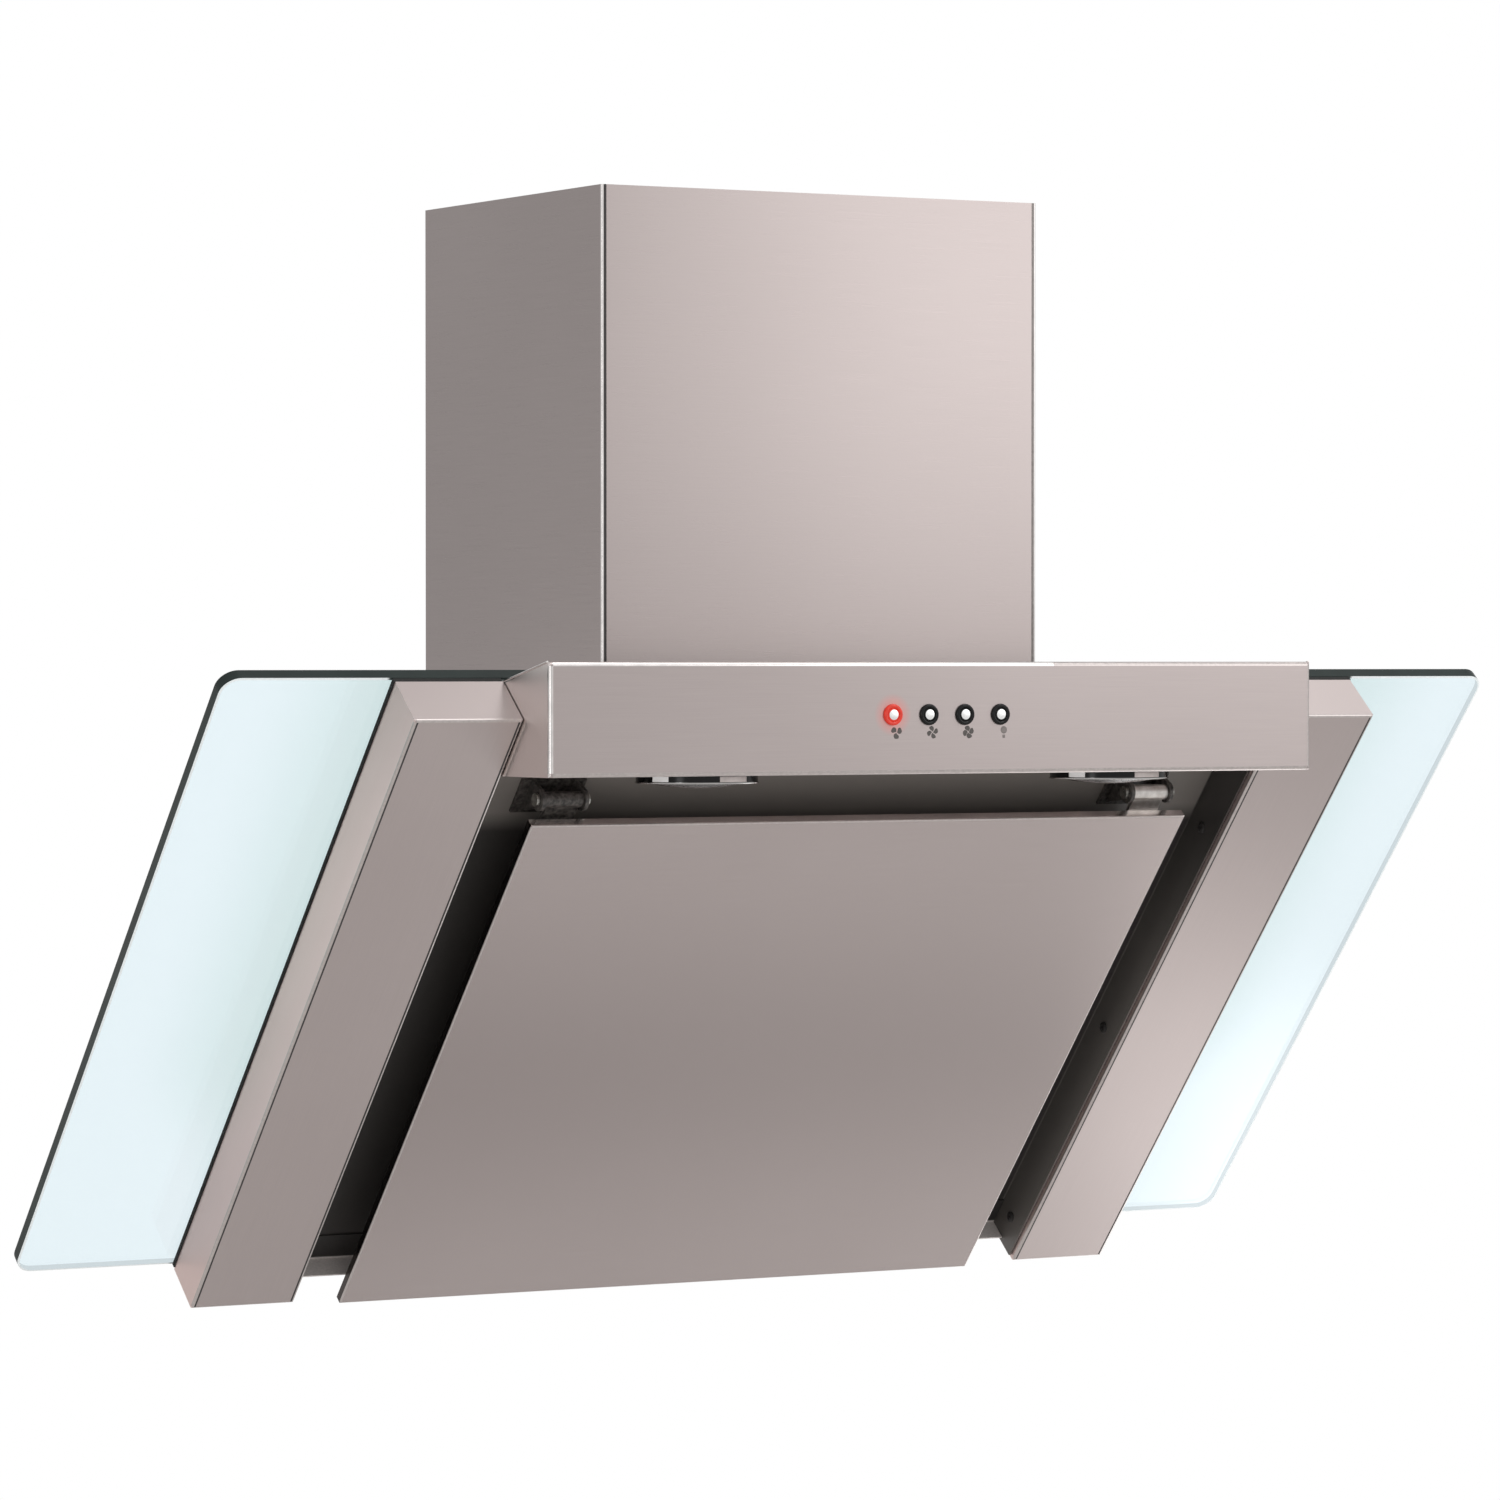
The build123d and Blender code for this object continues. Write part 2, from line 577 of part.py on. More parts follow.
def push_buttons():
    """Bezel rings through the fascia, the sliding caps in them and the lit ring of the first one."""
    nodes = {}
    bezels = []
    bore = BUTTON_RADIUS + SLIP
    front = FASCIA_FRONT - BEZEL_HEIGHT
    stop = FASCIA_INSIDE + CHAMBER_DEPTH / 2
    for i, (name, x) in enumerate(zip(BUTTON_NAMES, BUTTON_X)):
        ring = rod(BEZEL_RADIUS, x, (front, FASCIA_FRONT), BUTTON_Z)
        ring = fillet(ring.edges().group_by(Axis.Y)[0], BEZEL_EDGE)
        ring += rod(BEZEL_BARREL, x, (FASCIA_FRONT, stop), BUTTON_Z)
        ring -= rod(bore, x, (front - OVERCUT, stop + OVERCUT), BUTTON_Z)
        if i == 0:
            groove = (front - OVERCUT, front + LIGHT_RING_DEPTH)
            ring -= rod(bore + LIGHT_RING_WIDTH, x, groove, BUTTON_Z)
            light = rod(bore + LIGHT_RING_WIDTH, x, (front, front + LIGHT_RING_DEPTH), BUTTON_Z)
            light -= rod(bore, x, (front - OVERCUT, front + LIGHT_RING_DEPTH + OVERCUT), BUTTON_Z)
            nodes["indicator_ring"] = light
        bezels.append(ring)
        cap = rod(BUTTON_RADIUS, x, (front - BUTTON_DOME, front + BUTTON_HEAD), BUTTON_Z)
        cap = fillet(cap.edges().group_by(Axis.Y)[0], BUTTON_DOME)
        tip = HOUSING_BACK - SWITCH_HEIGHT - BUTTON_TRAVEL - SLIP
        nodes[f"{name}_button"] = cap + rod(STEM_RADIUS, x, (front, tip), BUTTON_Z)
    nodes["button_bezels"] = Compound(bezels)
    return nodes


def lamps():
    """Round lamps under the fascia: trim ring, domed lens, cup and light emitter."""
    nodes = {}
    rim = FASCIA_FOOT - LAMP_TRIM_HEIGHT
    sphere = (LENS_RADIUS**2 + LENS_DOME**2) / (2 * LENS_DOME)
    floor = FASCIA_FOOT + FASCIA_SHEET
    for name, side in (("left", -1), ("right", 1)):
        x = side * LAMP_SPACING / 2
        trim = rod(LAMP_RADIUS, x, LAMP_Y, (rim, FASCIA_FOOT))
        trim = fillet(trim.edges().group_by(Axis.Z)[0], LAMP_TRIM_ROUND)
        trim -= rod(LENS_RADIUS + SLIP, x, LAMP_Y, (rim - OVERCUT, FASCIA_FOOT + OVERCUT))
        nodes[f"{name}_lamp_trim"] = trim
        ball = Pos(x, LAMP_Y, rim - LENS_DOME + sphere) * Sphere(sphere)
        dome = ball & rod(LENS_RADIUS, x, LAMP_Y, (rim - LENS_DOME - OVERCUT, rim))
        nodes[f"{name}_lamp_lens"] = dome + rod(LENS_RADIUS, x, LAMP_Y, (rim, rim + LENS_THICKNESS))
        top = FASCIA_FOOT + LAMP_CUP_HEIGHT
        cup = rod(LAMP_CUP_RADIUS, x, LAMP_Y, (FASCIA_FOOT, top))
        cup += rod(LAMP_CUP_RADIUS + LAMP_CUP_FLANGE, x, LAMP_Y, (floor, floor + LAMP_CUP_WALL))
        hollow = (FASCIA_FOOT - OVERCUT, top - LAMP_CUP_WALL)
        nodes[f"{name}_lamp_cup"] = cup - rod(LAMP_CUP_RADIUS - LAMP_CUP_WALL, x, LAMP_Y, hollow)
        emitter = (top - LAMP_CUP_WALL - EMITTER_HEIGHT, top - LAMP_CUP_WALL)
        nodes[f"{name}_lamp_emitter"] = rod(EMITTER_RADIUS, x, LAMP_Y, emitter)
    return nodes


def front_panel():
    """Double-skin panel: outer sheet with short returns and the tray folded behind it."""
    v = (PANEL_TOP_V, PANEL_FOOT_V)
    skin = block((-PANEL_HALF, PANEL_HALF), down(v), (PANEL_FRONT - PANEL_RETURN, PANEL_FRONT))
    skin = fillet(skin.edges().group_by(Axis.Z)[-1], SHEET)
    inner_half = PANEL_HALF - SHEET
    hollow_n = (PANEL_FRONT - PANEL_RETURN - OVERCUT, PANEL_FRONT - SHEET)
    skin -= block((-inner_half, inner_half), down((v[0] + SHEET, v[1] - SHEET)), hollow_n)
    half = PANEL_HALF - BACKING_INSET
    inset = (v[0] + BACKING_INSET, v[1] - BACKING_INSET)
    tray = pane_block((-half, half), inset, (PANEL_BACK, PANEL_FRONT - SHEET))
    hollow = (PANEL_BACK + SHEET, PANEL_FRONT + OVERCUT)
    tray -= pane_block((SHEET - half, half - SHEET), (inset[0] + SHEET, inset[1] - SHEET), hollow)
    return {"front_panel": PANE * skin, "panel_backing": tray}


def hinges():
    """Panel hinges: bracket with two ears on the tray, pin, and leaf on the panel."""
    nodes = {}
    pins = []
    base_v = FASCIA_FOOT_V + BRACKET_CLEARANCE
    ear_gap = KNUCKLE_WIDTH / 2 + SLIP
    for name, side in (("left", -1), ("right", 1)):
        x = side * HINGE_SPACING / 2
        base_x = (x - BRACKET_WIDTH / 2, x + BRACKET_WIDTH / 2)
        bracket = pane_block(base_x, (base_v, base_v + BRACKET_LENGTH), (SEAT, SEAT + BRACKET_BASE))
        for edge in (-1, 1):
            ear_x = tuple(sorted((x + edge * ear_gap, x + edge * (ear_gap + EAR_THICKNESS))))
            web = [
                (base_v, SEAT),
                (base_v + BRACKET_LENGTH, SEAT),
                (HINGE_V + EAR_RADIUS, HINGE_FRONT),
                (HINGE_V - EAR_RADIUS, HINGE_FRONT),
            ]
            bracket += pane_prism(web, ear_x)
            bracket += pane_rod(EAR_RADIUS, ear_x, HINGE_V, HINGE_FRONT)
        bore = (base_x[0] - OVERCUT, base_x[1] + OVERCUT)
        bracket -= pane_rod(HINGE_PIN_RADIUS + HINGE_CLEARANCE, bore, HINGE_V, HINGE_FRONT)
        nodes[f"{name}_hinge_bracket"] = bracket
        reach = ear_gap + EAR_THICKNESS + SLIP
        pin = pane_rod(HINGE_PIN_RADIUS, (x - reach, x + reach), HINGE_V, HINGE_FRONT)
        for edge in (-1, 1):
            head = sorted((x + edge * reach, x + edge * (reach + HINGE_PIN_HEAD_LENGTH)))
            pin += pane_rod(HINGE_PIN_HEAD, tuple(head), HINGE_V, HINGE_FRONT)
        pins.append(pin)
        knuckle_x = (x - KNUCKLE_WIDTH / 2, x + KNUCKLE_WIDTH / 2)
        leaf_x = (x - LEAF_WIDTH / 2, x + LEAF_WIDTH / 2)
        leaf = pane_rod(KNUCKLE_RADIUS, knuckle_x, HINGE_V, HINGE_FRONT)
        leaf_n = (PANEL_BACK - LEAF_THICKNESS, PANEL_BACK)
        leaf += pane_block(leaf_x, (HINGE_V, HINGE_V + LEAF_LENGTH), leaf_n)
        leaf -= pane_rod(HINGE_PIN_RADIUS + HINGE_CLEARANCE, bore, HINGE_V, HINGE_FRONT)
        nodes[f"{name}_hinge_leaf"] = leaf
    nodes["hinge_pins"] = Compound(pins)
    return nodes


def panel_catches():
    """Magnetic catches on the tray near its lower edge and the strikes on the panel."""
    catches = []
    strikes = []
    v = (GLASS_LENGTH - CATCH_RISE - CATCH_SIZE[1], GLASS_LENGTH - CATCH_RISE)
    for side in (-1, 1):
        middle = side * CATCH_SPACING / 2
        x = (middle - CATCH_SIZE[0] / 2, middle + CATCH_SIZE[0] / 2)
        face = PANEL_BACK - STRIKE_THICKNESS
        catches.append(pane_block(x, v, (SEAT, face - SLIP)))
        strikes.append(pane_block(x, v, (face, PANEL_BACK)))
    return {"panel_catches": Compound(catches), "panel_strikes": Compound(strikes)}


def grease_filter():
    """Filter cassette over the suction opening: channel frame, mesh pack and sliding latch."""
    v = (FILTER_TOP_V, FILTER_FOOT_V)
    frame = pane_ring(FILTER_HALF, v, (SEAT, FILTER_FRONT), FILTER_RAIL)
    middle = (SEAT + FILTER_FRONT) / 2
    mesh_n = (middle - FILTER_MESH / 2, middle + FILTER_MESH / 2)
    inset = (FILTER_RAIL - SHEET) / 2
    mesh = pane_block((inset - FILTER_HALF, FILTER_HALF - inset), (v[0] + inset, v[1] - inset), mesh_n)
    frame -= mesh
    latch_v = (FILTER_TOP_V - LATCH_TONGUE + SLIP, FILTER_TOP_V + LATCH_LENGTH - LATCH_TONGUE)
    latch_n = FILTER_FRONT + SLIP
    half = LATCH_WIDTH / 2 - SLIP
    latch = pane_block((-half, half), latch_v, (latch_n, latch_n + LATCH_THICKNESS))
    grip_v = (latch_v[1] - LATCH_GRIP, latch_v[1])
    latch += pane_block((-half, half), grip_v, (latch_n, latch_n + LATCH_THICKNESS + LATCH_GRIP))
    for side in (-1, 1):
        rail = tuple(sorted((side * LATCH_WIDTH / 2, side * (LATCH_WIDTH / 2 + KEEPER_WALL))))
        rail_n = (FILTER_FRONT, latch_n + LATCH_THICKNESS)
        frame += pane_block(rail, (FILTER_TOP_V, FILTER_TOP_V + FILTER_RAIL), rail_n)
    return {"filter_frame": frame, "filter_mesh": mesh, "filter_latch": latch}


def flue_shell(half, front, z):
    """A folded U of sheet, open to the wall: half width, front face and height limits."""
    shell = block((-half, half), (front, -FLUE_BACK_GAP), z)
    shell = fillet(shell.edges().filter_by(Axis.Z).group_by(Axis.Y)[0], BEND)
    inner_z = (z[0] - OVERCUT, z[1] + OVERCUT)
    return shell - block((SHEET - half, half - SHEET), (front + SHEET, OVERCUT), inner_z)


def flue_screw_places():
    """Places (y, z) of the screws between the lower flue cover and the air box."""
    middle = (AIR_FRONT - AIR_BACK_GAP) / 2
    ends = (middle - FLUE_SCREW_SPACING / 2, middle + FLUE_SCREW_SPACING / 2)
    return [(y, GLASS_TOP_Z - FLUE_SCREW_DROP) for y in ends]


def flue_covers():
    """Lower cover cut to the glass's slope, and the upper cover that telescopes out of it."""
    lower = flue_shell(FLUE_HALF, FLUE_FRONT, (AIR_FOOT, FLUE_TOP))
    behind_glass = CASING_N - FLUE_GLASS_GAP
    reach = (-FLUE_HEIGHT, 2 * GLASS_LENGTH)
    lower -= pane_block((-FLUE_WIDTH, FLUE_WIDTH), reach, (behind_glass, GLASS_LENGTH))
    screws = []
    for side in (-1, 1):
        wall = tuple(sorted((side * (AIR_HALF - SHEET - OVERCUT), side * (FLUE_HALF + OVERCUT))))
        head = tuple(sorted((side * FLUE_HALF, side * (FLUE_HALF + SCREW_HEAD_HEIGHT))))
        shank = tuple(sorted((side * FLUE_HALF, side * (FLUE_HALF - SCREW_LENGTH))))
        for y, z in flue_screw_places():
            lower -= rod(SCREW_HOLE, wall, y, z)
            screws.append(rod(SCREW_HEAD, head, y, z) + rod(SCREW_RADIUS, shank, y, z))
    upper_half = FLUE_HALF - SHEET - FLUE_SLIDE_GAP
    upper_z = (AIR_TOP + SLIP, FLUE_TOP - UPPER_FLUE_RECESS)
    upper = flue_shell(upper_half, FLUE_FRONT + SHEET + FLUE_SLIDE_GAP, upper_z)
    return {
        "lower_flue_cover": lower,
        "upper_flue_cover": upper,
        "flue_bracket": flue_bracket(upper_half - SHEET, upper_z[1]),
        "flue_screws": Compound(screws),
    }


def flue_bracket(half, top):
    """Wall strap at the top of the upper cover, with an ear along each of its sides."""
    z = (top - FLUE_BRACKET_DROP - FLUE_BRACKET_HEIGHT, top - FLUE_BRACKET_DROP)
    strap = block((-half, half), (-FLUE_BRACKET_SHEET, 0), z)
    for side in (-1, 1):
        ear = sorted((side * (half - FLUE_BRACKET_SHEET), side * half))
        strap += block(ear, (-FLUE_BRACKET_EAR, 0), z)
        hole = (-FLUE_BRACKET_SHEET - OVERCUT, OVERCUT)
        strap -= rod(FLUE_HOLE_RADIUS, side * FLUE_HOLE_SPACING / 2, hole, sum(z) / 2)
    return strap


def air_box():
    """Sheet casing behind the glass with its hanger, open to the suction opening and the collar."""
    outline = [
        (-AIR_BACK_GAP, AIR_FOOT),
        (-AIR_BACK_GAP, AIR_TOP),
        (AIR_FRONT, AIR_TOP),
        pane_yz(AIR_TOP_V, CASING_N),
        pane_yz(AIR_FOOT_V, CASING_N),
    ]
    side = make_face(Polyline(*[(-AIR_HALF, y, z) for y, z in outline], close=True))
    box = extrude(side, amount=2 * AIR_HALF, dir=(1, 0, 0))
    lining = Pos(SHEET, 0, 0) * offset(side, -SHEET, kind=Kind.INTERSECTION)
    box -= extrude(lining, amount=2 * (AIR_HALF - SHEET), dir=(1, 0, 0))
    depth = (CASING_N - SHEET - OVERCUT, CASING_N + OVERCUT)
    box -= pane_block((-CUT_HALF, CUT_HALF), (CUT_TOP_V, CUT_FOOT_V), depth)
    box -= rod(COLLAR_BORE, 0, COLLAR_Y, (AIR_TOP - SHEET - OVERCUT, AIR_TOP + OVERCUT))
    for x in (-AIR_HALF, AIR_HALF):
        for y, z in flue_screw_places():
            box -= rod(SCREW_HOLE, (x - OVERCUT, x + OVERCUT), y, z)
    box = drilled(box, BOLT_HOLE, (CASING_N - SHEET, CASING_N))
    return {"air_box": box + hanger()}


def glass_bolts():
    """Bolts through tray, gaskets, glass and air box flange, each with its nut."""
    solids = []
    nut_front = CASING_N - SHEET
    tail = nut_front - NUT_HEIGHT - BOLT_TAIL
    for x, v in bolt_places():
        head = pane_rod(BOLT_HEAD, x, v, (SEAT, SEAT + BOLT_HEAD_HEIGHT))
        solids.append(head + pane_rod(BOLT_RADIUS, x, v, (tail, SEAT)))
        hexagon = RegularPolygon(NUT_WIDTH / 2, 6, major_radius=False)
        nut = PANE * Pos(x, down(v), nut_front - NUT_HEIGHT) * extrude(hexagon, NUT_HEIGHT)
        bore = (nut_front - NUT_HEIGHT - OVERCUT, nut_front + OVERCUT)
        solids.append(nut - pane_rod(BOLT_RADIUS + SHAFT_CLEARANCE, x, v, bore))
    return {"glass_bolts": Compound(solids)}


def hanger():
    """Strip welded to the air box's back, with a lip that hooks over the wall bracket's."""
    sheet = WALL_BRACKET_SHEET
    back = -AIR_BACK_GAP
    catch = sheet + HANGER_LIP_GAP - WALL_LIP_OFFSET
    outline = [
        (back, HOOK_Z + sheet - HANGER_LEG),
        (back, HOOK_Z + sheet),
        (catch + sheet, HOOK_Z + sheet),
        (catch + sheet, HANGER_Z + sheet),
        (catch, HANGER_Z + sheet),
        (catch, HOOK_Z),
        (back + sheet, HOOK_Z),
        (back + sheet, HOOK_Z + sheet - HANGER_LEG),
    ]
    return side_prism(outline, (-WALL_BRACKET_WIDTH / 2, WALL_BRACKET_WIDTH / 2))


def wall_bracket():
    """Bolted wall rail with an upturned lip."""
    sheet = WALL_BRACKET_SHEET
    foot = -WALL_BRACKET_HEIGHT / 2
    lip = -WALL_LIP_OFFSET
    outline = [
        (0, foot),
        (0, HANGER_Z),
        (lip + sheet, HANGER_Z),
        (lip + sheet, HOOK_Z),
        (lip, HOOK_Z),
        (lip, HANGER_Z - sheet),
        (-sheet, HANGER_Z - sheet),
        (-sheet, foot),
    ]
    rail = side_prism(outline, (-WALL_BRACKET_WIDTH / 2, WALL_BRACKET_WIDTH / 2))
    for x in (-WALL_HOLE_SPACING_X / 2, WALL_HOLE_SPACING_X / 2):
        for z in (-WALL_HOLE_SPACING_Z / 2, WALL_HOLE_SPACING_Z / 2):
            rail -= rod(WALL_HOLE_RADIUS, x, (-sheet - OVERCUT, OVERCUT), z)
    return {"wall_bracket": rail}


def duct_collar():
    """Spigot for the duct, with a ledge under the closed damper and sockets for its spindle."""
    top = AIR_TOP + COLLAR_HEIGHT
    collar = rod(COLLAR_FLANGE, 0, COLLAR_Y, (AIR_TOP, AIR_TOP + COLLAR_SHEET))
    collar += rod(COLLAR_RADIUS, 0, COLLAR_Y, (AIR_TOP, top))
    collar -= rod(COLLAR_BORE, 0, COLLAR_Y, (AIR_TOP - OVERCUT, top + OVERCUT))
    ledge_top = DAMPER_Z - DAMPER_SHEET / 2 - SLIP
    ledge_z = (ledge_top - COLLAR_SHEET, ledge_top)
    ledge = rod(COLLAR_BORE, 0, COLLAR_Y, ledge_z)
    ledge -= rod(COLLAR_BORE - DAMPER_LEDGE, 0, COLLAR_Y, (ledge_z[0] - OVERCUT, ledge_z[1] + OVERCUT))
    clear = DAMPER_KNUCKLE + DAMPER_SLOT_GAP
    ledge -= block((-COLLAR_RADIUS, COLLAR_RADIUS), (COLLAR_Y - clear, COLLAR_Y + clear), ledge_z)
    collar += ledge
    socket = COLLAR_RADIUS - SPINDLE_SOCKET_SKIN
    collar -= rod(SPINDLE_RADIUS + SHAFT_CLEARANCE, (-socket, socket), COLLAR_Y, DAMPER_Z)
    end = socket - SHAFT_CLEARANCE
    spindle = rod(SPINDLE_RADIUS, (-end, end), COLLAR_Y, DAMPER_Z)
    return {"outlet_collar": collar, "damper_spindle": spindle}


def damper_flaps():
    """Two half-disc flaps whose knuckles alternate along one spindle."""
    nodes = {}
    thickness = (DAMPER_Z - DAMPER_SHEET / 2, DAMPER_Z + DAMPER_SHEET / 2)
    edge = DAMPER_KNUCKLE + DAMPER_SLOT_GAP
    reach = COLLAR_BORE - DAMPER_EDGE_GAP
    disc = rod(reach, 0, COLLAR_Y, thickness)
    for name, side, shift in (("front", -1, -1.5), ("rear", 1, -0.5)):
        half = tuple(sorted((COLLAR_Y + side * edge, COLLAR_Y + side * (reach + OVERCUT))))
        flap = disc & block((-reach, reach), half, thickness)
        tab = tuple(sorted((COLLAR_Y, COLLAR_Y + side * (edge + OVERCUT))))
        for start in (shift, shift + 2):
            low = start * DAMPER_KNUCKLE_PITCH - DAMPER_KNUCKLE_LENGTH / 2
            x = (low, low + DAMPER_KNUCKLE_LENGTH)
            flap += rod(DAMPER_KNUCKLE, x, COLLAR_Y, DAMPER_Z) + block(x, tab, thickness)
        flap -= rod(SPINDLE_RADIUS + SHAFT_CLEARANCE, (-COLLAR_RADIUS, COLLAR_RADIUS), COLLAR_Y, DAMPER_Z)
        nodes[f"{name}_damper_flap"] = flap
    return nodes


def volute(grow, x, top):
    """Scroll solid: three quarter arcs about the corners of a small square, then straight up to the outlet.

    Each quarter turn the arc's radius grows by the square's side; grow widens the whole outline.
    """
    step = SCROLL_GROWTH / 2
    y, z = SCROLL_Y, SCROLL_Z
    first = SCROLL_START + grow
    second = first + SCROLL_GROWTH
    third = second + SCROLL_GROWTH
    half = sqrt(0.5)

    def point(across, rise):
        return (x[0], y + across, z + rise)

    crown = point(step + grow, sqrt(first**2 - grow**2) - step)
    rear = point(step + first, -step)
    foot = point(-step, -step - second)
    fore = point(-step - third, step)
    arcs = [
        ThreePointArc(crown, point(step + half * first, half * first - step), rear),
        ThreePointArc(rear, point(half * second - step, -half * second - step), foot),
        ThreePointArc(foot, point(-half * third - step, step - half * third), fore),
    ]
    outlet = Polyline(fore, (x[0], fore[1], top), (x[0], crown[1], top), crown)
    return extrude(make_face(arcs + [outlet]), amount=x[1] - x[0], dir=(1, 0, 0))


def blower_casing():
    """Scroll with its outlet flange under the air box's top, and the cover with the inlet."""
    half = SCROLL_WIDTH / 2
    outside = half + SCROLL_WALL
    top = AIR_TOP - SHEET
    casing = volute(SCROLL_WALL, (-outside, half), top)
    casing += block(
        (-outside - SCROLL_FLANGE, half),
        (SCROLL_Y - SCROLL_FORE - SCROLL_FLANGE, SCROLL_Y + SCROLL_GROWTH / 2 + SCROLL_FLANGE),
        (top - SCROLL_WALL, top),
    )
    casing -= volute(0, (-half, half + OVERCUT), top + OVERCUT)
    casing -= rod(MOTOR_BOSS + FIT_GAP, (-outside - OVERCUT, OVERCUT - half), SCROLL_Y, SCROLL_Z)
    cover = volute(SCROLL_WALL, (half, outside), top - SCROLL_WALL)
    cover += rod(INLET_RADIUS + SCROLL_WALL, (half, outside + INLET_LIP), SCROLL_Y, SCROLL_Z)
    cover -= rod(INLET_RADIUS, (half - OVERCUT, outside + INLET_LIP + OVERCUT), SCROLL_Y, SCROLL_Z)
    return {"scroll_casing": casing, "scroll_cover": cover}


def blower_drive():
    """Motor on the scroll's closed side, its shaft and the drum impeller."""
    seat = -SCROLL_WIDTH / 2 - SCROLL_WALL
    back = seat - MOTOR_LENGTH
    motor = rod(MOTOR_RADIUS, (back + MOTOR_STEP_LENGTH, seat), SCROLL_Y, SCROLL_Z)
    motor += rod(MOTOR_RADIUS - MOTOR_STEP, (back, back + MOTOR_STEP_LENGTH), SCROLL_Y, SCROLL_Z)
    motor += rod(MOTOR_BOSS, (seat, seat + SCROLL_WALL + MOTOR_BOSS_LENGTH), SCROLL_Y, SCROLL_Z)
    shaft_start = seat - SHAFT_TAIL
    bore = (shaft_start - SLIP, OVERCUT)
    motor -= rod(SHAFT_RADIUS + SHAFT_CLEARANCE, bore, SCROLL_Y, SCROLL_Z)
    half = IMPELLER_WIDTH / 2
    shaft = rod(SHAFT_RADIUS, (shaft_start, HUB_LENGTH - half), SCROLL_Y, SCROLL_Z)
    drum = rod(IMPELLER_RADIUS, (-half, IMPELLER_SHEET - half), SCROLL_Y, SCROLL_Z)
    drum += rod(HUB_RADIUS, (-half, HUB_LENGTH - half), SCROLL_Y, SCROLL_Z)
    drum -= rod(SHAFT_RADIUS + SHAFT_CLEARANCE, (-half - OVERCUT, half), SCROLL_Y, SCROLL_Z)
    ring = rod(IMPELLER_RADIUS, (half - IMPELLER_SHEET, half), SCROLL_Y, SCROLL_Z)
    eye = (half - IMPELLER_SHEET - OVERCUT, half + OVERCUT)
    ring -= rod(IMPELLER_RADIUS - BLADE_DEPTH, eye, SCROLL_Y, SCROLL_Z)
    middle = IMPELLER_RADIUS - BLADE_DEPTH / 2
    chord = BLADE_DEPTH - 2 * BLADE_THICKNESS
    plate = Box(IMPELLER_WIDTH - IMPELLER_SHEET, chord, BLADE_THICKNESS)
    blade = Pos(0, middle, 0) * Rot(BLADE_ANGLE, 0, 0) * plate
    axle = Pos(0, SCROLL_Y, SCROLL_Z)
    blades = [axle * Rot(360 * i / BLADE_COUNT, 0, 0) * blade for i in range(BLADE_COUNT)]
    return {"blower_motor": motor, "motor_shaft": shaft, "impeller": drum + ring + blades}


def electrical_parts():
    """Terminal box with cover and cable grommet, and the motor capacitor, on the air box."""
    width, length, height = TERMINAL_SIZE
    x = (TERMINAL_X - width / 2, TERMINAL_X + width / 2)
    y = (COLLAR_Y - length / 2, COLLAR_Y + length / 2)
    z = (AIR_TOP, AIR_TOP + height)
    wall = TERMINAL_WALL
    box = block(x, y, z)
    box -= block((x[0] + wall, x[1] - wall), (y[0] + wall, y[1] - wall), (z[0] + wall, z[1] + OVERCUT))
    hole_z = AIR_TOP + height / 2
    box -= rod(GROMMET_RADIUS, TERMINAL_X, (y[1] - wall - OVERCUT, y[1] + OVERCUT), hole_z)
    grommet = rod(GROMMET_RADIUS, TERMINAL_X, (y[1] - wall, y[1]), hole_z)
    for face, away in ((y[1], 1), (y[1] - wall, -1)):
        flange = tuple(sorted((face, face + away * GROMMET_FLANGE_THICKNESS)))
        grommet += rod(GROMMET_FLANGE, TERMINAL_X, flange, hole_z)
    through = (y[1] - wall - GROMMET_FLANGE_THICKNESS - OVERCUT, y[1] + GROMMET_FLANGE_THICKNESS + OVERCUT)
    grommet -= rod(GROMMET_BORE, TERMINAL_X, through, hole_z)
    stud = rod(CAPACITOR_STUD, CAPACITOR_X, COLLAR_Y, (AIR_TOP, AIR_TOP + CAPACITOR_STUD))
    can = (AIR_TOP + CAPACITOR_STUD, AIR_TOP + CAPACITOR_STUD + CAPACITOR_LENGTH)
    return {
        "terminal_box": box,
        "terminal_cover": block(x, y, (z[1], z[1] + TERMINAL_COVER)),
        "cable_grommet": grommet,
        "capacitor": stud + rod(CAPACITOR_RADIUS, CAPACITOR_X, COLLAR_Y, can),
    }


MAKERS = (
    glass_canopy,
    gaskets,
    base_tray,
    tray_sill,
    pillars,
    pillar_screws,
    control_fascia,
    switch_housing,
    push_buttons,
    lamps,
    front_panel,
    hinges,
    panel_catches,
    grease_filter,
    flue_covers,
    air_box,
    glass_bolts,
    wall_bracket,
    duct_collar,
    damper_flaps,
    blower_casing,
    blower_drive,
    electrical_parts,
)

os.makedirs("parts", exist_ok=True)
for maker in MAKERS:
    for node, shape in maker().items():
        export_step(shape, f"parts/{node}.step")
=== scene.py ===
"""Looks of a wall-mounted inclined range hood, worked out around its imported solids.

Metres, in the solids' own frame: X to the right, Y back to the wall, Z up. Pieces on the glass are
placed in the glass's own terms: x as above, v down the slope from its top edge, n out of its front face.
"""
import json
from math import cos, pi, radians, sin, tau

import bmesh
import bpy
import numpy as np
from bpy.props import FloatProperty, FloatVectorProperty, PointerProperty
from mathutils import Matrix, Vector


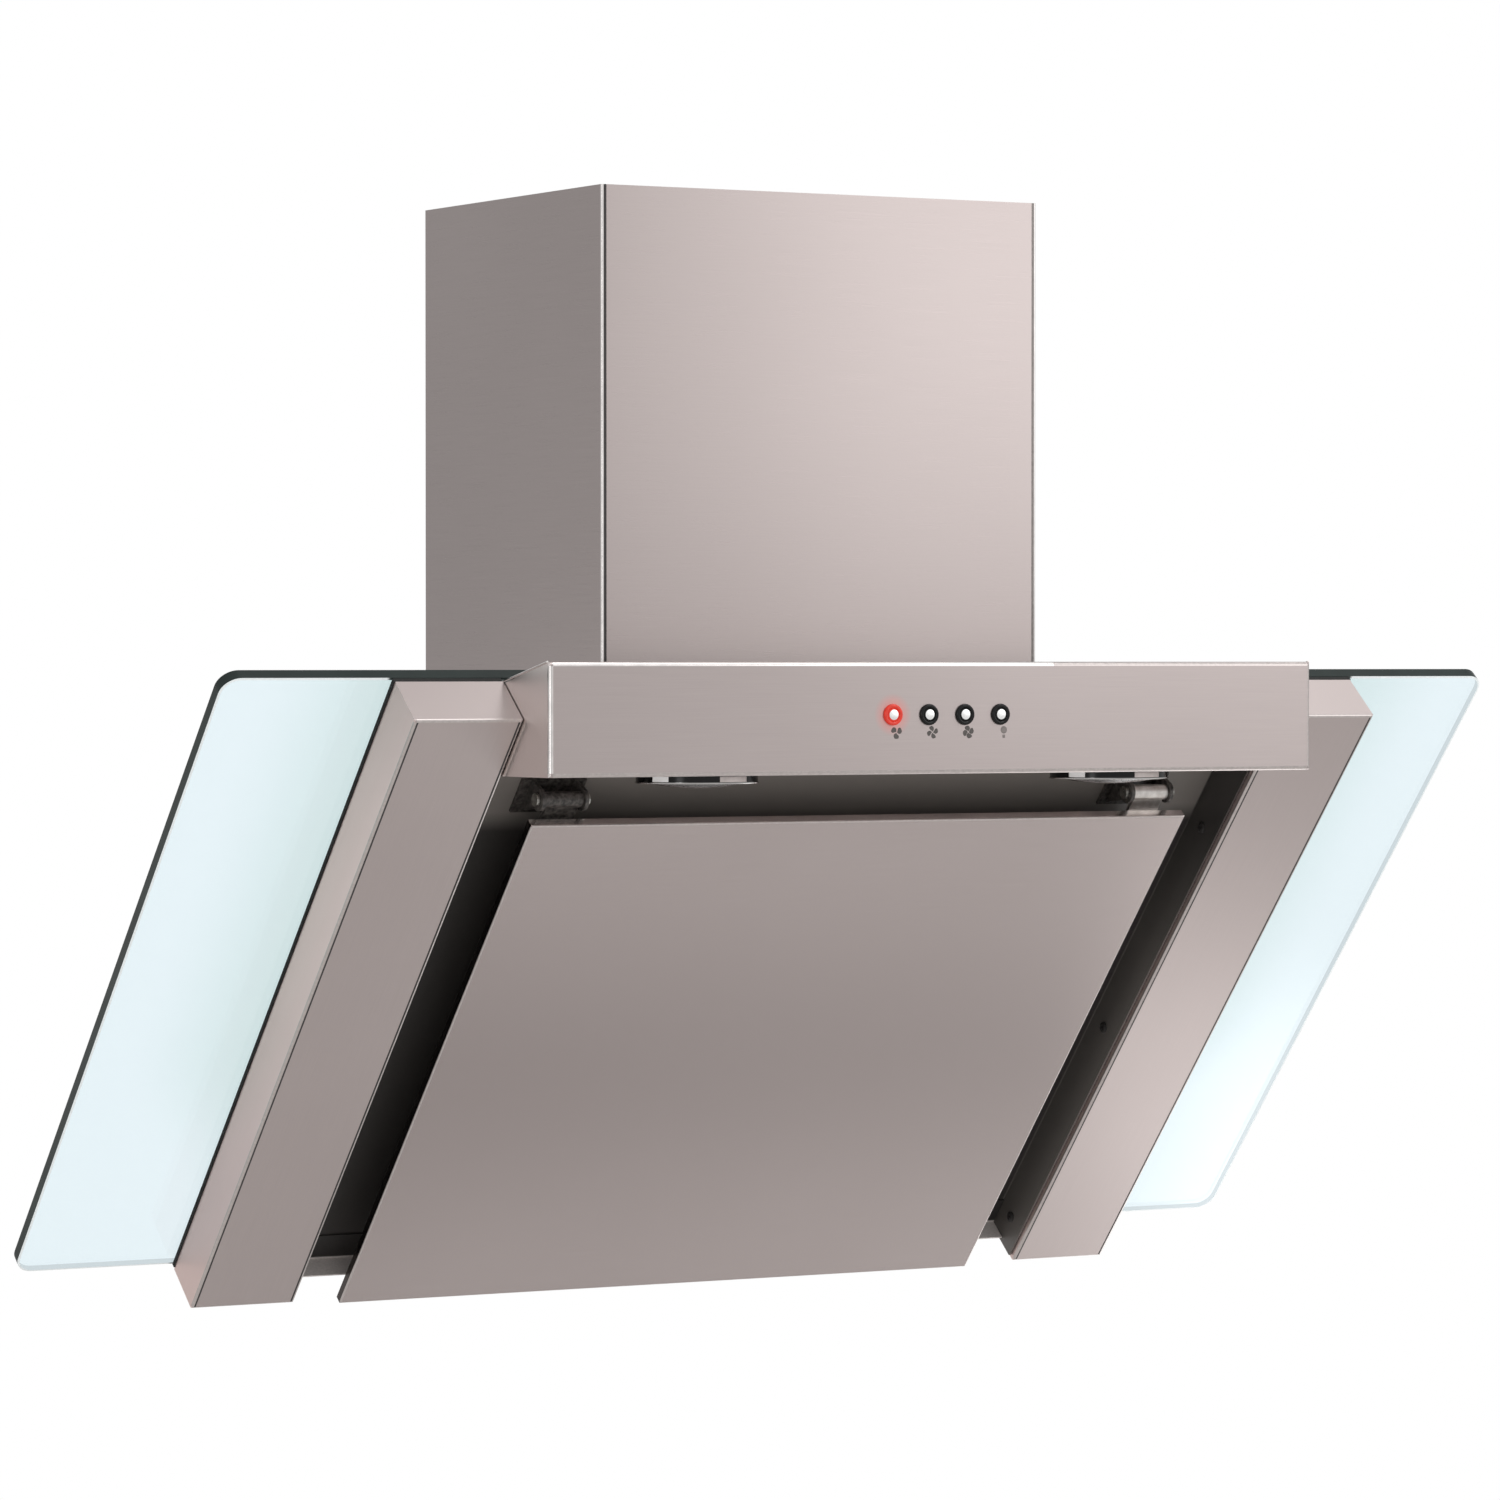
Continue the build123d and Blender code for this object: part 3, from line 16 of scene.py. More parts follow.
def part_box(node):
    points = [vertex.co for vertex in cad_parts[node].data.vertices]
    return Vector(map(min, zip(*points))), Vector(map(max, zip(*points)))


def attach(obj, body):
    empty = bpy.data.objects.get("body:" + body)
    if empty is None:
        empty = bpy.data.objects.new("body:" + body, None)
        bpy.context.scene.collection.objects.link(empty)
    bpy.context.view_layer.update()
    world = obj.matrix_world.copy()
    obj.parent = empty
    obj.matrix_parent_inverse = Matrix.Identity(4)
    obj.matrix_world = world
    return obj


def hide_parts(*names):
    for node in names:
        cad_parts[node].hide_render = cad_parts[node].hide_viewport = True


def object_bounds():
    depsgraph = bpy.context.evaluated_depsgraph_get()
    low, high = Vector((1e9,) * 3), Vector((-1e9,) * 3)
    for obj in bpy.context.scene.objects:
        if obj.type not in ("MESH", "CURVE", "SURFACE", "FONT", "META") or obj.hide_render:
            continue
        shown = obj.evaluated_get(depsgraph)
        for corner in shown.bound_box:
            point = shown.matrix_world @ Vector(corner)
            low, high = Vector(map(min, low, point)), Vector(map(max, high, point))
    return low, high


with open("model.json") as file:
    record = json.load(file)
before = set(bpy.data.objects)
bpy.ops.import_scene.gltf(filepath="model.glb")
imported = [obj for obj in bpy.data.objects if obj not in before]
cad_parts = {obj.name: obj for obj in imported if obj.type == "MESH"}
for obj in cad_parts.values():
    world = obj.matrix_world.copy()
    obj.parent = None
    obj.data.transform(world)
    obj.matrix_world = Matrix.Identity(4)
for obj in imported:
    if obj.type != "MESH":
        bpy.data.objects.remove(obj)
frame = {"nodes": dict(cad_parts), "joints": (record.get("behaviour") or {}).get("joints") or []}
CAD_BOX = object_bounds()
NODES = frame["nodes"]

bl_info = {
    "name": "Inclined Range Hood",
    "version": (1, 0, 0),
    "blender": (4, 5, 0),
    "location": "View3D > Sidebar > Range Hood",
    "description": "Finishes and fine pieces of a wall-mounted inclined range hood",
    "category": "Object",
}

MM = 0.001
BUTTONS = ("speed_one", "speed_two", "speed_three", "light")
SIDES = ("left", "right")
WHITE = (1.0, 1.0, 1.0)

ACROSS = np.array((1.0, 0.0, 0.0))
FORWARD = np.array((0.0, -1.0, 0.0))
UP = np.array((0.0, 0.0, 1.0))
# The filter's latch slides down the slope of the glass
DOWN = np.array(next(j["axis"] for j in frame["joints"] if j["name"] == "filter_latch_slide"), float)
OUT = np.cross(DOWN, ACROSS)
SLOPE_TURN = np.arctan2(DOWN[2], DOWN[1])

PANE_AXES = np.stack((ACROSS, DOWN, OUT), 1)
PANE_LOW, PANE_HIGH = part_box("glass_canopy")
# The depth and height of the glass's box are shares of its length and thickness along the slope
PANE_LENGTH, PANE_THICKNESS = np.linalg.solve(
    ((DOWN[1], -DOWN[2]), (-DOWN[2], DOWN[1])), (PANE_HIGH.y - PANE_LOW.y, PANE_HIGH.z - PANE_LOW.z))
PANE_TOP = np.array((0.0, PANE_LOW.y, PANE_HIGH.z - PANE_THICKNESS * DOWN[1]))


def linear(code):
    """Linear RGB of an sRGB hex colour: above the toe ((c + 0.055) / 1.055) to the power 2.4."""
    channels = np.array([int(code[i : i + 2], 16) / 255 for i in (1, 3, 5)])
    curve = np.where(channels > 0.04045, ((channels + 0.055) / 1.055) ** 2.4, channels / 12.92)
    return tuple(float(c) for c in curve)


def length(name, description, size):
    """A property that holds a length, its default given in millimetres."""
    return FloatProperty(name=name, description=description, default=size * MM, unit="LENGTH", precision=5)


def colour(name, description, code):
    """A property that holds a colour, its default given as sRGB hex."""
    return FloatVectorProperty(name=name, description=description, default=linear(code), subtype="COLOR",
                               min=0, max=1)


class HoodSizes(bpy.types.PropertyGroup):
    """Sizes of the fine pieces."""

    arris: length("Glass arris", "Width of the ground edge of the glass", 1.4)
    corner: length("Glass corner", "Corner radius of the glass", 12.0)
    filter_lap: length("Filter lap", "Lap of the filter's frame over the opening in the glass", 8.0)
    fascia_bend: length("Fascia bend", "Radius of the fascia's folded edges", 2.5)
    sheet_bend: length("Sheet bend", "Radius of the folds of chimney and pillars", 1.5)
    panel_bend: length("Panel bend", "Radius of the panel's folds", 1.0)
    # The seams are painted shade of the gaps beside the folds, on low filled ridges
    chimney_seam: length("Chimney seam", "Width of the joint beside each chimney corner", 1.9)
    pillar_seam: length("Pillar seam", "Width of the joint beside each pillar's fold", 1.2)
    icon_radius: length("Mark radius", "Half the size of a printed button mark", 3.9)
    icon_drop: length("Mark drop", "Distance of a mark below its button's centre", 10.7)
    icon_shift: length("Mark shift", "Distance of a mark to the right of its button's centre", 2.6)
    ink: length("Ink", "Thickness of the printed marks", 0.04)
    cap_insert: length("Cap insert", "Radius of the bright insert in a button's cap", 3.1)
    mesh_spacing: length("Mesh spacing", "Distance between the middles of two mesh strands", 3.2)
    mesh_diamond: length("Mesh diamond", "Long side of a diamond of the grease mesh", 11.0)
    mesh_strand: length("Mesh strand", "Width of a strand of the grease mesh", 0.8)
    lens_ring: length("Lens ring", "Width of one pressed ring of a lamp's lens", 2.5)
    thread: length("Thread", "Pitch of the screws' threads", 0.8)


class HoodFinishes(bpy.types.PropertyGroup):
    """Colours of the finishes."""

    steel: colour("Steel", "Brushed stainless steel", "#AEA4A2")
    steel_streak: colour("Steel streak", "Darker streaks of the brushing", "#A79D9B")
    # Painted light: the pillars' flanks are a lighter, pinker copy of the steel
    pillar_flank_painted_light: colour("Steel flank", "Brushed steel on the flanks of the pillars", "#E3CDC8")
    # Painted light: the fascia's ends and the panel's top and bottom edges, a lighter copy of the steel
    end_painted_light: colour("Fascia end", "Brushed steel on the fascia's ends and the panel's top", "#F6EEEB")
    # Painted shade: the panel's flanks, a dark copy of the steel
    panel_flank_painted_shade: colour("Panel flank", "Steel on the panel's shaded flanks", "#4A4340")
    # Painted light: the red glow of the lit ring, painted on the steel round it
    painted_red_glow: colour("Halo", "Steel round the lit ring", "#E08078")
    # Painted highlight: the bright fold skins, much paler than the steel
    fold: colour("Fold", "Bright folded edges of fascia and chimney", "#E6E1DF")
    # Painted highlight: the satin fold skins, paler than the steel
    satin_fold_painted_highlight: colour("Satin fold", "Satin folds of pillars, panel and fascia", "#C4BCB9")
    glass: colour("Glass", "Float glass near its edges", "#EAF7FC")
    # Painted shade: the greener, darker glass by the pillars
    glass_painted_shade: colour("Deep glass", "Float glass that takes the tone of the pillars", "#D6E9EA")
    glass_edge: colour("Glass edge", "Ground edge of the float glass", "#27312F")
    enamel: colour("Enamel", "Dark enamel on the tray's floor", "#3A3735")
    # Painted light: the lighter grey on the tray's top under the fascia and low on its walls
    enamel_painted_light: colour("Worn enamel", "Enamel rubbed grey on the tray's walls and top", "#7C7671")
    sill: colour("Sill", "Paint on the sill at the foot of the tray", "#DAD2CE")
    rubber: colour("Rubber", "Foam and rubber seals", "#171716")
    plastic: colour("Plastic", "Moulded inner parts", "#1C1C1D")
    gloss_black: colour("Gloss black", "Rings of the buttons", "#121213")
    lit_red: colour("Lit red", "Ring of the running speed", "#D2301F")
    zinc: colour("Zinc", "Galvanised sheet", "#B9BDBF")
    aluminium: colour("Aluminium", "Mesh and frame of the grease filter", "#D3D5D7")
    ink: colour("Ink", "Printed button marks", "#55504D")
    faint_ink: colour("Faint ink", "Printed mark of the light's button", "#857D7A")


class HoodStage(bpy.types.PropertyGroup):
    """Camera, floor and light."""

    lens: FloatProperty(name="Lens", description="Focal length in mm on a 36 mm sensor", default=141.459)
    place: FloatVectorProperty(name="Camera", description="Place of the camera",
                               default=(-1.8539, -3.4561, -0.0094), subtype="XYZ", unit="LENGTH")
    turn: FloatProperty(name="Turn", description="Turn of the view to the right of straight on",
                        default=radians(29.302), subtype="ANGLE")
    dip: FloatProperty(name="Dip", description="Tilt of the view below level",
                       default=radians(0.872), subtype="ANGLE")
    floor_drop: FloatProperty(name="Floor", description="Height of the hood above the floor",
                              default=0.5, unit="LENGTH")
    floor_half: FloatProperty(name="Floor half", description="Half the width of the square floor",
                              default=2.2, unit="LENGTH")
    daylight: FloatProperty(name="Daylight", description="Brightness of the studio as plain light",
                            default=0.85)
    backdrop: FloatProperty(name="Backdrop", description="Mean brightness of the studio in gloss",
                            default=0.68)
    backdrop_slope: FloatVectorProperty(name="Backdrop slope", subtype="XYZ", default=(0.06, -0.10, 0.28),
                                        description="How the backdrop brightens along X, Y and Z")


# Places in the frame

def on_pane(x, v, n):
    """Points in the glass's terms: its top centre plus x across, v down the slope and n out of the face."""
    x, v, n = np.broadcast_arrays(x, v, n)
    return PANE_TOP + np.stack((x, v, n), -1) @ PANE_AXES.T


def on_fascia(node):
    """Middle of a CAD node's box, brought to the front face of the fascia."""
    low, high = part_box(node)
    return np.array(((low.x + high.x) / 2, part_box("control_fascia")[0].y, (low.z + high.z) / 2))


def cad_points(node):
    """Every point of a CAD node's mesh."""
    mesh = NODES[node].data
    spots = np.empty(len(mesh.vertices) * 3, np.float32)
    mesh.vertices.foreach_get("co", spots)
    return spots.reshape(-1, 3).astype(float)


def pane_box(points):
    """Lowest and highest x, v and n of some points."""
    terms = (points - PANE_TOP) @ PANE_AXES
    return terms.min(axis=0), terms.max(axis=0)


def separate_solids(node):
    """Points of each solid in a CAD node.

    Each point has a label, and the lowest label among a triangle's corners spreads until none changes.
    """
    mesh = NODES[node].data
    corners = np.empty(len(mesh.loops), np.int32)
    mesh.loops.foreach_get("vertex_index", corners)
    places, merged = np.unique(np.round(cad_points(node), 6), axis=0, return_inverse=True)
    triangles = merged.reshape(-1)[corners].reshape(-1, 3)
    labels = np.arange(len(places))
    settled = False
    while not settled:
        spread = labels.copy()
        np.minimum.at(spread, triangles.ravel(), np.repeat(labels[triangles].min(axis=1), 3))
        settled = np.array_equal(spread, labels)
        labels = spread
    return [places[labels == label] for label in np.unique(labels)]


# Shapes

# Points nearer than this are made one, and edges with a greater turn than this stay sharp
WELD = 1e-7
SHARP = radians(35)
# How far the skin of a fold stands off its sheet, and how far it goes in
SKIN_STAND = 0.06 * MM
SKIN_ROOT = 0.4 * MM


def lattice(points, close_u=False, close_v=False):
    """Quads between neighbours of a grid of points, closed round on itself where asked."""
    index = np.arange(points.shape[0] * points.shape[1]).reshape(points.shape[:2])
    if close_u:
        index = np.vstack((index, index[:1]))
    if close_v:
        index = np.hstack((index, index[:, :1]))
    quads = np.stack((index[:-1, :-1], index[1:, :-1], index[1:, 1:], index[:-1, 1:]), -1)
    return points.reshape(-1, 3), quads.reshape(-1, 4)


def joined(patches):
    """Several patches of points and quads as one."""
    starts = np.cumsum([0] + [len(points) for points, quads in patches[:-1]])
    points = np.vstack([points for points, quads in patches])
    quads = np.vstack([patch[1] + start for patch, start in zip(patches, starts)])
    return points, quads


def turned(radius, height, place, axis, steps=48):
    """Grid of a profile turned about an axis: place + height along the axis + radius times (cos, sin).

    Radius and height have a row for each point of the profile, and may have a column for each step round.
    """
    axis = np.asarray(axis, float)
    first = np.cross(axis, UP if abs(axis[0]) > 0.9 else ACROSS)
    first /= np.linalg.norm(first)
    angle = np.linspace(0, tau, steps, endpoint=False)
    spokes = np.outer(np.cos(angle), first) + np.outer(np.sin(angle), np.cross(axis, first))
    radius = np.asarray(radius, float).reshape(len(radius), -1, 1)
    height = np.asarray(height, float).reshape(len(height), -1, 1)
    return np.asarray(place, float) + radius * spokes + height * axis


def spun(profile, place, axis, steps=48):
    """A solid turned from (radius, height) pairs that start and end on the axis."""
    profile = np.asarray(profile, float)
    return lattice(turned(profile[:, 0], profile[:, 1], place, axis, steps), close_v=True)


def ring(profile, place, axis, steps=64):
    """A ring turned from a closed loop of (radius, height) pairs."""
    profile = np.asarray(profile, float)
    return lattice(turned(profile[:, 0], profile[:, 1], place, axis, steps), close_u=True, close_v=True)


def bar(stations):
    """Closed bar through a grid of sections: an outer row of points each, then an inner row backwards."""
    half = stations.shape[1] // 2
    caps = [np.stack((section[:half], section[half:][::-1])) for section in (stations[0], stations[-1])]
    return joined([lattice(stations, close_v=True)] + [lattice(cap) for cap in caps])


def folded_edge(start, end, first, second, radius):
    """Quarter-round skin on a fold, which stands a hair off the sheet.

    It is the fold's inner line plus the radius times (cos a, sin a) along the two faces' normals.
    """
    angle = np.linspace(0, pi / 2, 9)
    arc = np.outer(np.cos(angle), first) + np.outer(np.sin(angle), second)
    section = np.vstack((arc * (radius + SKIN_STAND), arc[::-1] * (radius - SKIN_ROOT)))
    line = np.stack((start, end)) - radius * (first + second)
    return bar(line[:, None, :] + section)


def rolled_bead(start, end, radius):
    """Round bead on an edge in a plane across X: a circle carried along the edge."""
    start, end = np.asarray(start, float), np.asarray(end, float)
    square = np.cross(end - start, ACROSS) / np.linalg.norm(end - start)
    angle = np.linspace(0, tau, 16, endpoint=False)
    circle = radius * (np.outer(np.cos(angle), ACROSS) + np.outer(np.sin(angle), square))
    return bar(np.stack((start, end))[:, None, :] + circle)


def filled_seam(start, end, side, normal, width):
    """Low filled ridge that carries painted shade beside a fold: a flat arch across the side direction,
    carried along a line.
    """
    rim, crown, root = 0.02 * MM, 0.10 * MM, 0.2 * MM
    share = np.linspace(-0.5, 0.5, 7)
    outer = np.outer(share * width, side) + np.outer(rim + crown * np.cos(pi * share), normal)
    inner = np.outer(share * width, side) - root * normal
    return bar(np.stack((start, end))[:, None, :] + np.vstack((outer, inner[::-1])))


def piece(name, patches, materials, body, slot, *replaced):
    """An object made of patches, with one material for all or one each, riding on a CAD body."""
    mesh = bpy.data.meshes.new(name)
    points, quads = joined(patches)
    mesh.from_pydata(points.tolist(), [], quads.tolist())
    finishes = list(dict.fromkeys(materials))
    for finish in finishes:
        mesh.materials.append(finish)
    if len(materials) > 1:
        order = [finishes.index(material) for material in materials]
        mesh.polygons.foreach_set("material_index", np.repeat(order, [len(patch[1]) for patch in patches]))
    shell = bmesh.new()
    shell.from_mesh(mesh)
    bmesh.ops.remove_doubles(shell, verts=shell.verts, dist=WELD)
    bmesh.ops.dissolve_degenerate(shell, edges=shell.edges, dist=WELD)
    bmesh.ops.recalc_face_normals(shell, faces=shell.faces)
    shell.to_mesh(mesh)
    shell.free()
    mesh.shade_smooth()
    mesh.set_sharp_from_angle(angle=SHARP)
    made = bpy.data.objects.new(name, mesh)
    bpy.context.scene.collection.objects.link(made)
    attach(made, body)
    if replaced:
        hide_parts(*replaced)
    return made


# Materials

# Inputs of a Mix node, whose names repeat: two values, or two colours
VALUE_A, VALUE_B = 2, 3
COLOUR_A, COLOUR_B = 6, 7
# The part of its range that a noise mostly keeps to
NOISE_RANGE = {"From Min": 0.3, "From Max": 0.7}


def add(tree, kind, inputs=None, **settings):
    """A shader node with its settings, constant inputs and links.

    An input that is a node is linked to that node's first output in use. Colours are linear RGB or sRGB hex.
    """
    made = tree.nodes.new(f"ShaderNode{kind}")
    for name, value in settings.items():
        setattr(made, name, value)
    for key, value in (inputs or {}).items():
        if isinstance(value, bpy.types.Node):
            value = next(socket for socket in value.outputs if socket.enabled)
        if isinstance(value, bpy.types.NodeSocket):
            tree.links.new(value, made.inputs[key])
        elif made.inputs[key].type == "RGBA":
            tone = linear(value) if isinstance(value, str) else value
            made.inputs[key].default_value = (*tone, 1.0)
        else:
            made.inputs[key].default_value = value
    return made


def blank(name):
    """A new material and its empty node tree."""
    material = bpy.data.materials.new(name)
    material.use_nodes = True
    material.node_tree.nodes.clear()
    return material, material.node_tree


def closed(material, shader):
    """The material with its shader joined to the output."""
    add(material.node_tree, "OutputMaterial", {"Surface": shader})
    return material


def shade(tone, share):
    """A colour scaled by a share: darker below one, lighter above."""
    return tuple(share * c for c in tone)


def grain(tree, size, turn=0.0, detail=3.0):
    """Noise whose cells have the given size, one for all or one each along X, Y and Z, turned about X."""
    place = add(tree, "TexCoord").outputs["Object"]
    scale = np.broadcast_to(size, 3).tolist()
    laid = add(tree, "Mapping", {"Vector": place, "Rotation": (turn, 0, 0), "Scale": scale},
               vector_type="TEXTURE")
    return add(tree, "TexNoise", {"Vector": laid, "Scale": 1.0, "Detail": detail})


def toned(tree, noise, dark, light):
    """A colour that goes from dark to light as a noise goes over its usual range."""
    share = add(tree, "MapRange", {"Value": noise, **NOISE_RANGE})
    return add(tree, "Mix", {0: share, COLOUR_A: dark, COLOUR_B: light}, data_type="RGBA")


def facing(tree, direction):
    """One on faces square to a direction of their own piece and nought on faces along it."""
    normal = add(tree, "TexCoord").outputs["Normal"]
    lean = add(tree, "VectorMath", {0: normal, 1: direction}, operation="DOT_PRODUCT")
    square = add(tree, "Math", {0: lean}, operation="ABSOLUTE")
    return add(tree, "MapRange", {"Value": square, "From Min": 0.6, "From Max": 0.9})


def down_slope(tree):
    """How far a point lies down the slope of the glass, from the frame's origin."""
    place = add(tree, "TexCoord").outputs["Object"]
    return add(tree, "VectorMath", {0: place, 1: DOWN}, operation="DOT_PRODUCT")


def off_middle(tree):
    """How far a point lies to either side of the hood's middle plane."""
    place = add(tree, "TexCoord").outputs["Object"]
    side = add(tree, "SeparateXYZ", {0: place}).outputs["X"]
    return add(tree, "Math", {0: side}, operation="ABSOLUTE")


def surfaced(material, noise, face, roughness, depth, strength=0.5, more=None):
    """The material with a shader of one face colour, whose gloss and fine relief follow a noise."""
    tree = material.node_tree
    rough, rougher = roughness
    gloss = add(tree, "MapRange", {"Value": noise, **NOISE_RANGE, "To Min": rough, "To Max": rougher})
    skin = add(tree, "Bump", {"Height": noise, "Distance": depth, "Strength": strength})
    inputs = {"Base Color": face, "Roughness": gloss, "Normal": skin, **(more or {})}
    return closed(material, add(tree, "BsdfPrincipled", inputs))


def brushed_stainless(name, streak, roughness, spread, tone=1.0, sides=(), painted_red_glow=None, painted_shade_band=None, turn=0.0):
    """Stainless sheet brushed one way with grit: warm grey, fine streaks, gloss spread across them.

    The grit's own streaks are too fine to show, so they are drawn 0.4 mm wide. Each side is a direction and
    the colour of the faces square to it: a lighter copy of the steel on some faces, painted light, and a
    darker one on the panel's flanks, painted shade. The red glow is given by the place of the lit ring,
    round which a red glow is painted on the steel. The band is the middle and the reach, down the slope, of
    a soft strip painted darker: painted shade. A tone above one makes a lighter copy of the steel: painted
    light.
    """
    finishes = bpy.context.scene.hood_finishes
    material, tree = blank(name)
    streaks = grain(tree, streak, turn)
    cloud = grain(tree, 200 * MM, detail=1.0)
    mottle = add(tree, "Mix", {0: 0.4, VALUE_A: streaks, VALUE_B: cloud})
    face = toned(tree, mottle, shade(finishes.steel_streak, tone), shade(finishes.steel, tone))
    # Painted light and painted shade: faces square to each side direction take another copy of the steel
    tints = [(facing(tree, direction), tint) for direction, tint in sides]
    # Painted shade: a soft darker strip down the slope
    if painted_shade_band:
        middle, reach = painted_shade_band
        off = add(tree, "Math", {0: down_slope(tree), 1: middle}, operation="SUBTRACT")
        away = add(tree, "Math", {0: off}, operation="ABSOLUTE")
        painted_shade_strip = add(tree, "MapRange", {"Value": away, "From Max": reach, "To Min": 1.0, "To Max": 0.0},
                    interpolation_type="SMOOTHSTEP")
        tints.insert(0, (painted_shade_strip, shade(finishes.steel_streak, 0.86 * tone)))
    # Painted light: a red glow on the steel round the lit ring
    if painted_red_glow is not None:
        full, end = 6 * MM, 13 * MM
        place = add(tree, "TexCoord").outputs["Object"]
        away = add(tree, "VectorMath", {0: place, 1: painted_red_glow}, operation="DISTANCE")
        glow = add(tree, "MapRange", {"Value": away, "From Min": full, "From Max": end,
                                      "To Min": 0.5, "To Max": 0.0})
        tints.append((glow, finishes.painted_red_glow))
    for share, tint in tints:
        face = add(tree, "Mix", {0: share, COLOUR_A: face, COLOUR_B: tint}, data_type="RGBA")
    tangent = add(tree, "VectorTransform", {"Vector": spread}, vector_type="VECTOR",
                  convert_from="OBJECT", convert_to="WORLD")
    gloss = {"Metallic": 1.0, "Anisotropic": 0.6, "Tangent": tangent}
    return surfaced(material, streaks, face, roughness, 0.02 * MM, 0.08, gloss)


def metal(name, dark, light, cell, roughness, depth):
    """Plated, cast or turned metal: tone, gloss and relief mottled; cells and depth in millimetres."""
    material, tree = blank(name)
    mottle = grain(tree, cell * MM)
    face = toned(tree, mottle, dark, light)
    return surfaced(material, mottle, face, roughness, depth * MM, more={"Metallic": 1.0})


def coated(name, dark, light, cell, roughness, depth, gloss=0.5):
    """Rubber, paint, ink or plastic: near-even colour, fine relief; cells and depth in millimetres."""
    material, tree = blank(name)
    peel = grain(tree, cell * MM, detail=2.0)
    face = toned(tree, peel, dark, light)
    return surfaced(material, peel, face, roughness, depth * MM, more={"Specular IOR Level": gloss})


def galvanised_sheet():
    """Hot-dip galvanised sheet: zinc crystals some 9 mm across, each with its own grey and gloss."""
    finishes = bpy.context.scene.hood_finishes
    material, tree = blank("galvanised_sheet")
    place = add(tree, "TexCoord").outputs["Object"]
    cells = add(tree, "TexVoronoi", {"Vector": place, "Scale": 1 / (9 * MM)}).outputs["Color"]
    tone = add(tree, "SeparateColor", {"Color": cells})
    face = toned(tree, tone, shade(finishes.zinc, 0.75), finishes.zinc)
    return surfaced(material, tone, face, (0.36, 0.52), 0.02 * MM, 0.2, {"Metallic": 1.0})


def tray_enamel():
    """Dark satin enamel with painted light: lighter grey on its open top, under the fascia, and low on its
    walls.
    """
    finishes = bpy.context.scene.hood_finishes
    material, tree = blank("dark_enamel")
    peel = grain(tree, 1.2 * MM, detail=2.0)
    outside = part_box("base_tray")[1].x
    wall = add(tree, "MapRange", {"Value": off_middle(tree), "From Min": outside - 3 * MM,
                                  "From Max": outside - 2 * MM})
    place = add(tree, "TexCoord").outputs["Object"]
    depth = add(tree, "SeparateXYZ", {0: place}).outputs["Y"]
    # Painted light: the open top under the fascia is lighter
    top_light_from, top_light_to = -258 * MM, -268 * MM
    top = add(tree, "MapRange", {"Value": depth, "From Min": top_light_from, "From Max": top_light_to})
    # Painted light on the walls, up to half of the lighter grey
    wall_light_from, wall_light_to = -290 * MM, -200 * MM
    rubbed = add(tree, "MapRange", {"Value": depth, "From Min": wall_light_from, "From Max": wall_light_to,
                                    "To Max": 0.5})
    painted_light_share = add(tree, "Mix", {0: wall, VALUE_A: top, VALUE_B: rubbed})
    dark = toned(tree, peel, shade(finishes.enamel, 0.8), finishes.enamel)
    face = add(tree, "Mix", {0: painted_light_share, COLOUR_A: dark, COLOUR_B: finishes.enamel_painted_light}, data_type="RGBA")
    return surfaced(material, peel, face, (0.34, 0.44), 0.01 * MM)


def sill_paint():
    """Satin warm-grey paint on the sill's upright, the tray's dark enamel on its foot."""
    finishes = bpy.context.scene.hood_finishes
    material, tree = blank("sill_paint")
    peel = grain(tree, 1.5 * MM, detail=2.0)
    end = float((cad_points("tray_sill") @ DOWN).max())
    share = add(tree, "MapRange", {"Value": down_slope(tree), "From Min": end - 3 * MM,
                                   "From Max": end - 2 * MM})
    foot = shade(finishes.enamel, 0.7)
    upright = toned(tree, peel, shade(finishes.sill, 0.85), finishes.sill)
    face = add(tree, "Mix", {0: share, COLOUR_A: foot, COLOUR_B: upright}, data_type="RGBA")
    return surfaced(material, peel, face, (0.5, 0.6), 0.01 * MM)


def float_glass():
    """Clear float glass: smooth, pale blue, with painted shade that makes it deeper by the pillars and clear
    again at their feet.
    """
    finishes = bpy.context.scene.hood_finishes
    material, tree = blank("float_glass")
    # Painted shade: deeper glass within reach of the pillars, clearing towards their feet
    deep, clear, foot_shift = 330 * MM, 430 * MM, 80 * MM
    foot_from, foot_to = float(PANE_TOP @ DOWN) + np.array((0.6, 0.95)) * PANE_LENGTH
    foot = add(tree, "MapRange", {"Value": down_slope(tree), "From Min": foot_from, "From Max": foot_to,
                                  "To Max": foot_shift}, interpolation_type="SMOOTHSTEP")
    reach = add(tree, "Math", {0: off_middle(tree), 1: foot}, operation="ADD")
    share = add(tree, "MapRange", {"Value": reach, "From Min": deep, "From Max": clear},
                interpolation_type="SMOOTHSTEP")
    tint = add(tree, "Mix", {0: share, COLOUR_A: finishes.glass_painted_shade, COLOUR_B: finishes.glass},
               data_type="RGBA")
    return closed(material, add(tree, "BsdfPrincipled", {
        "Base Color": tint, "Transmission Weight": 1.0, "Roughness": 0.0, "IOR": 1.5}))


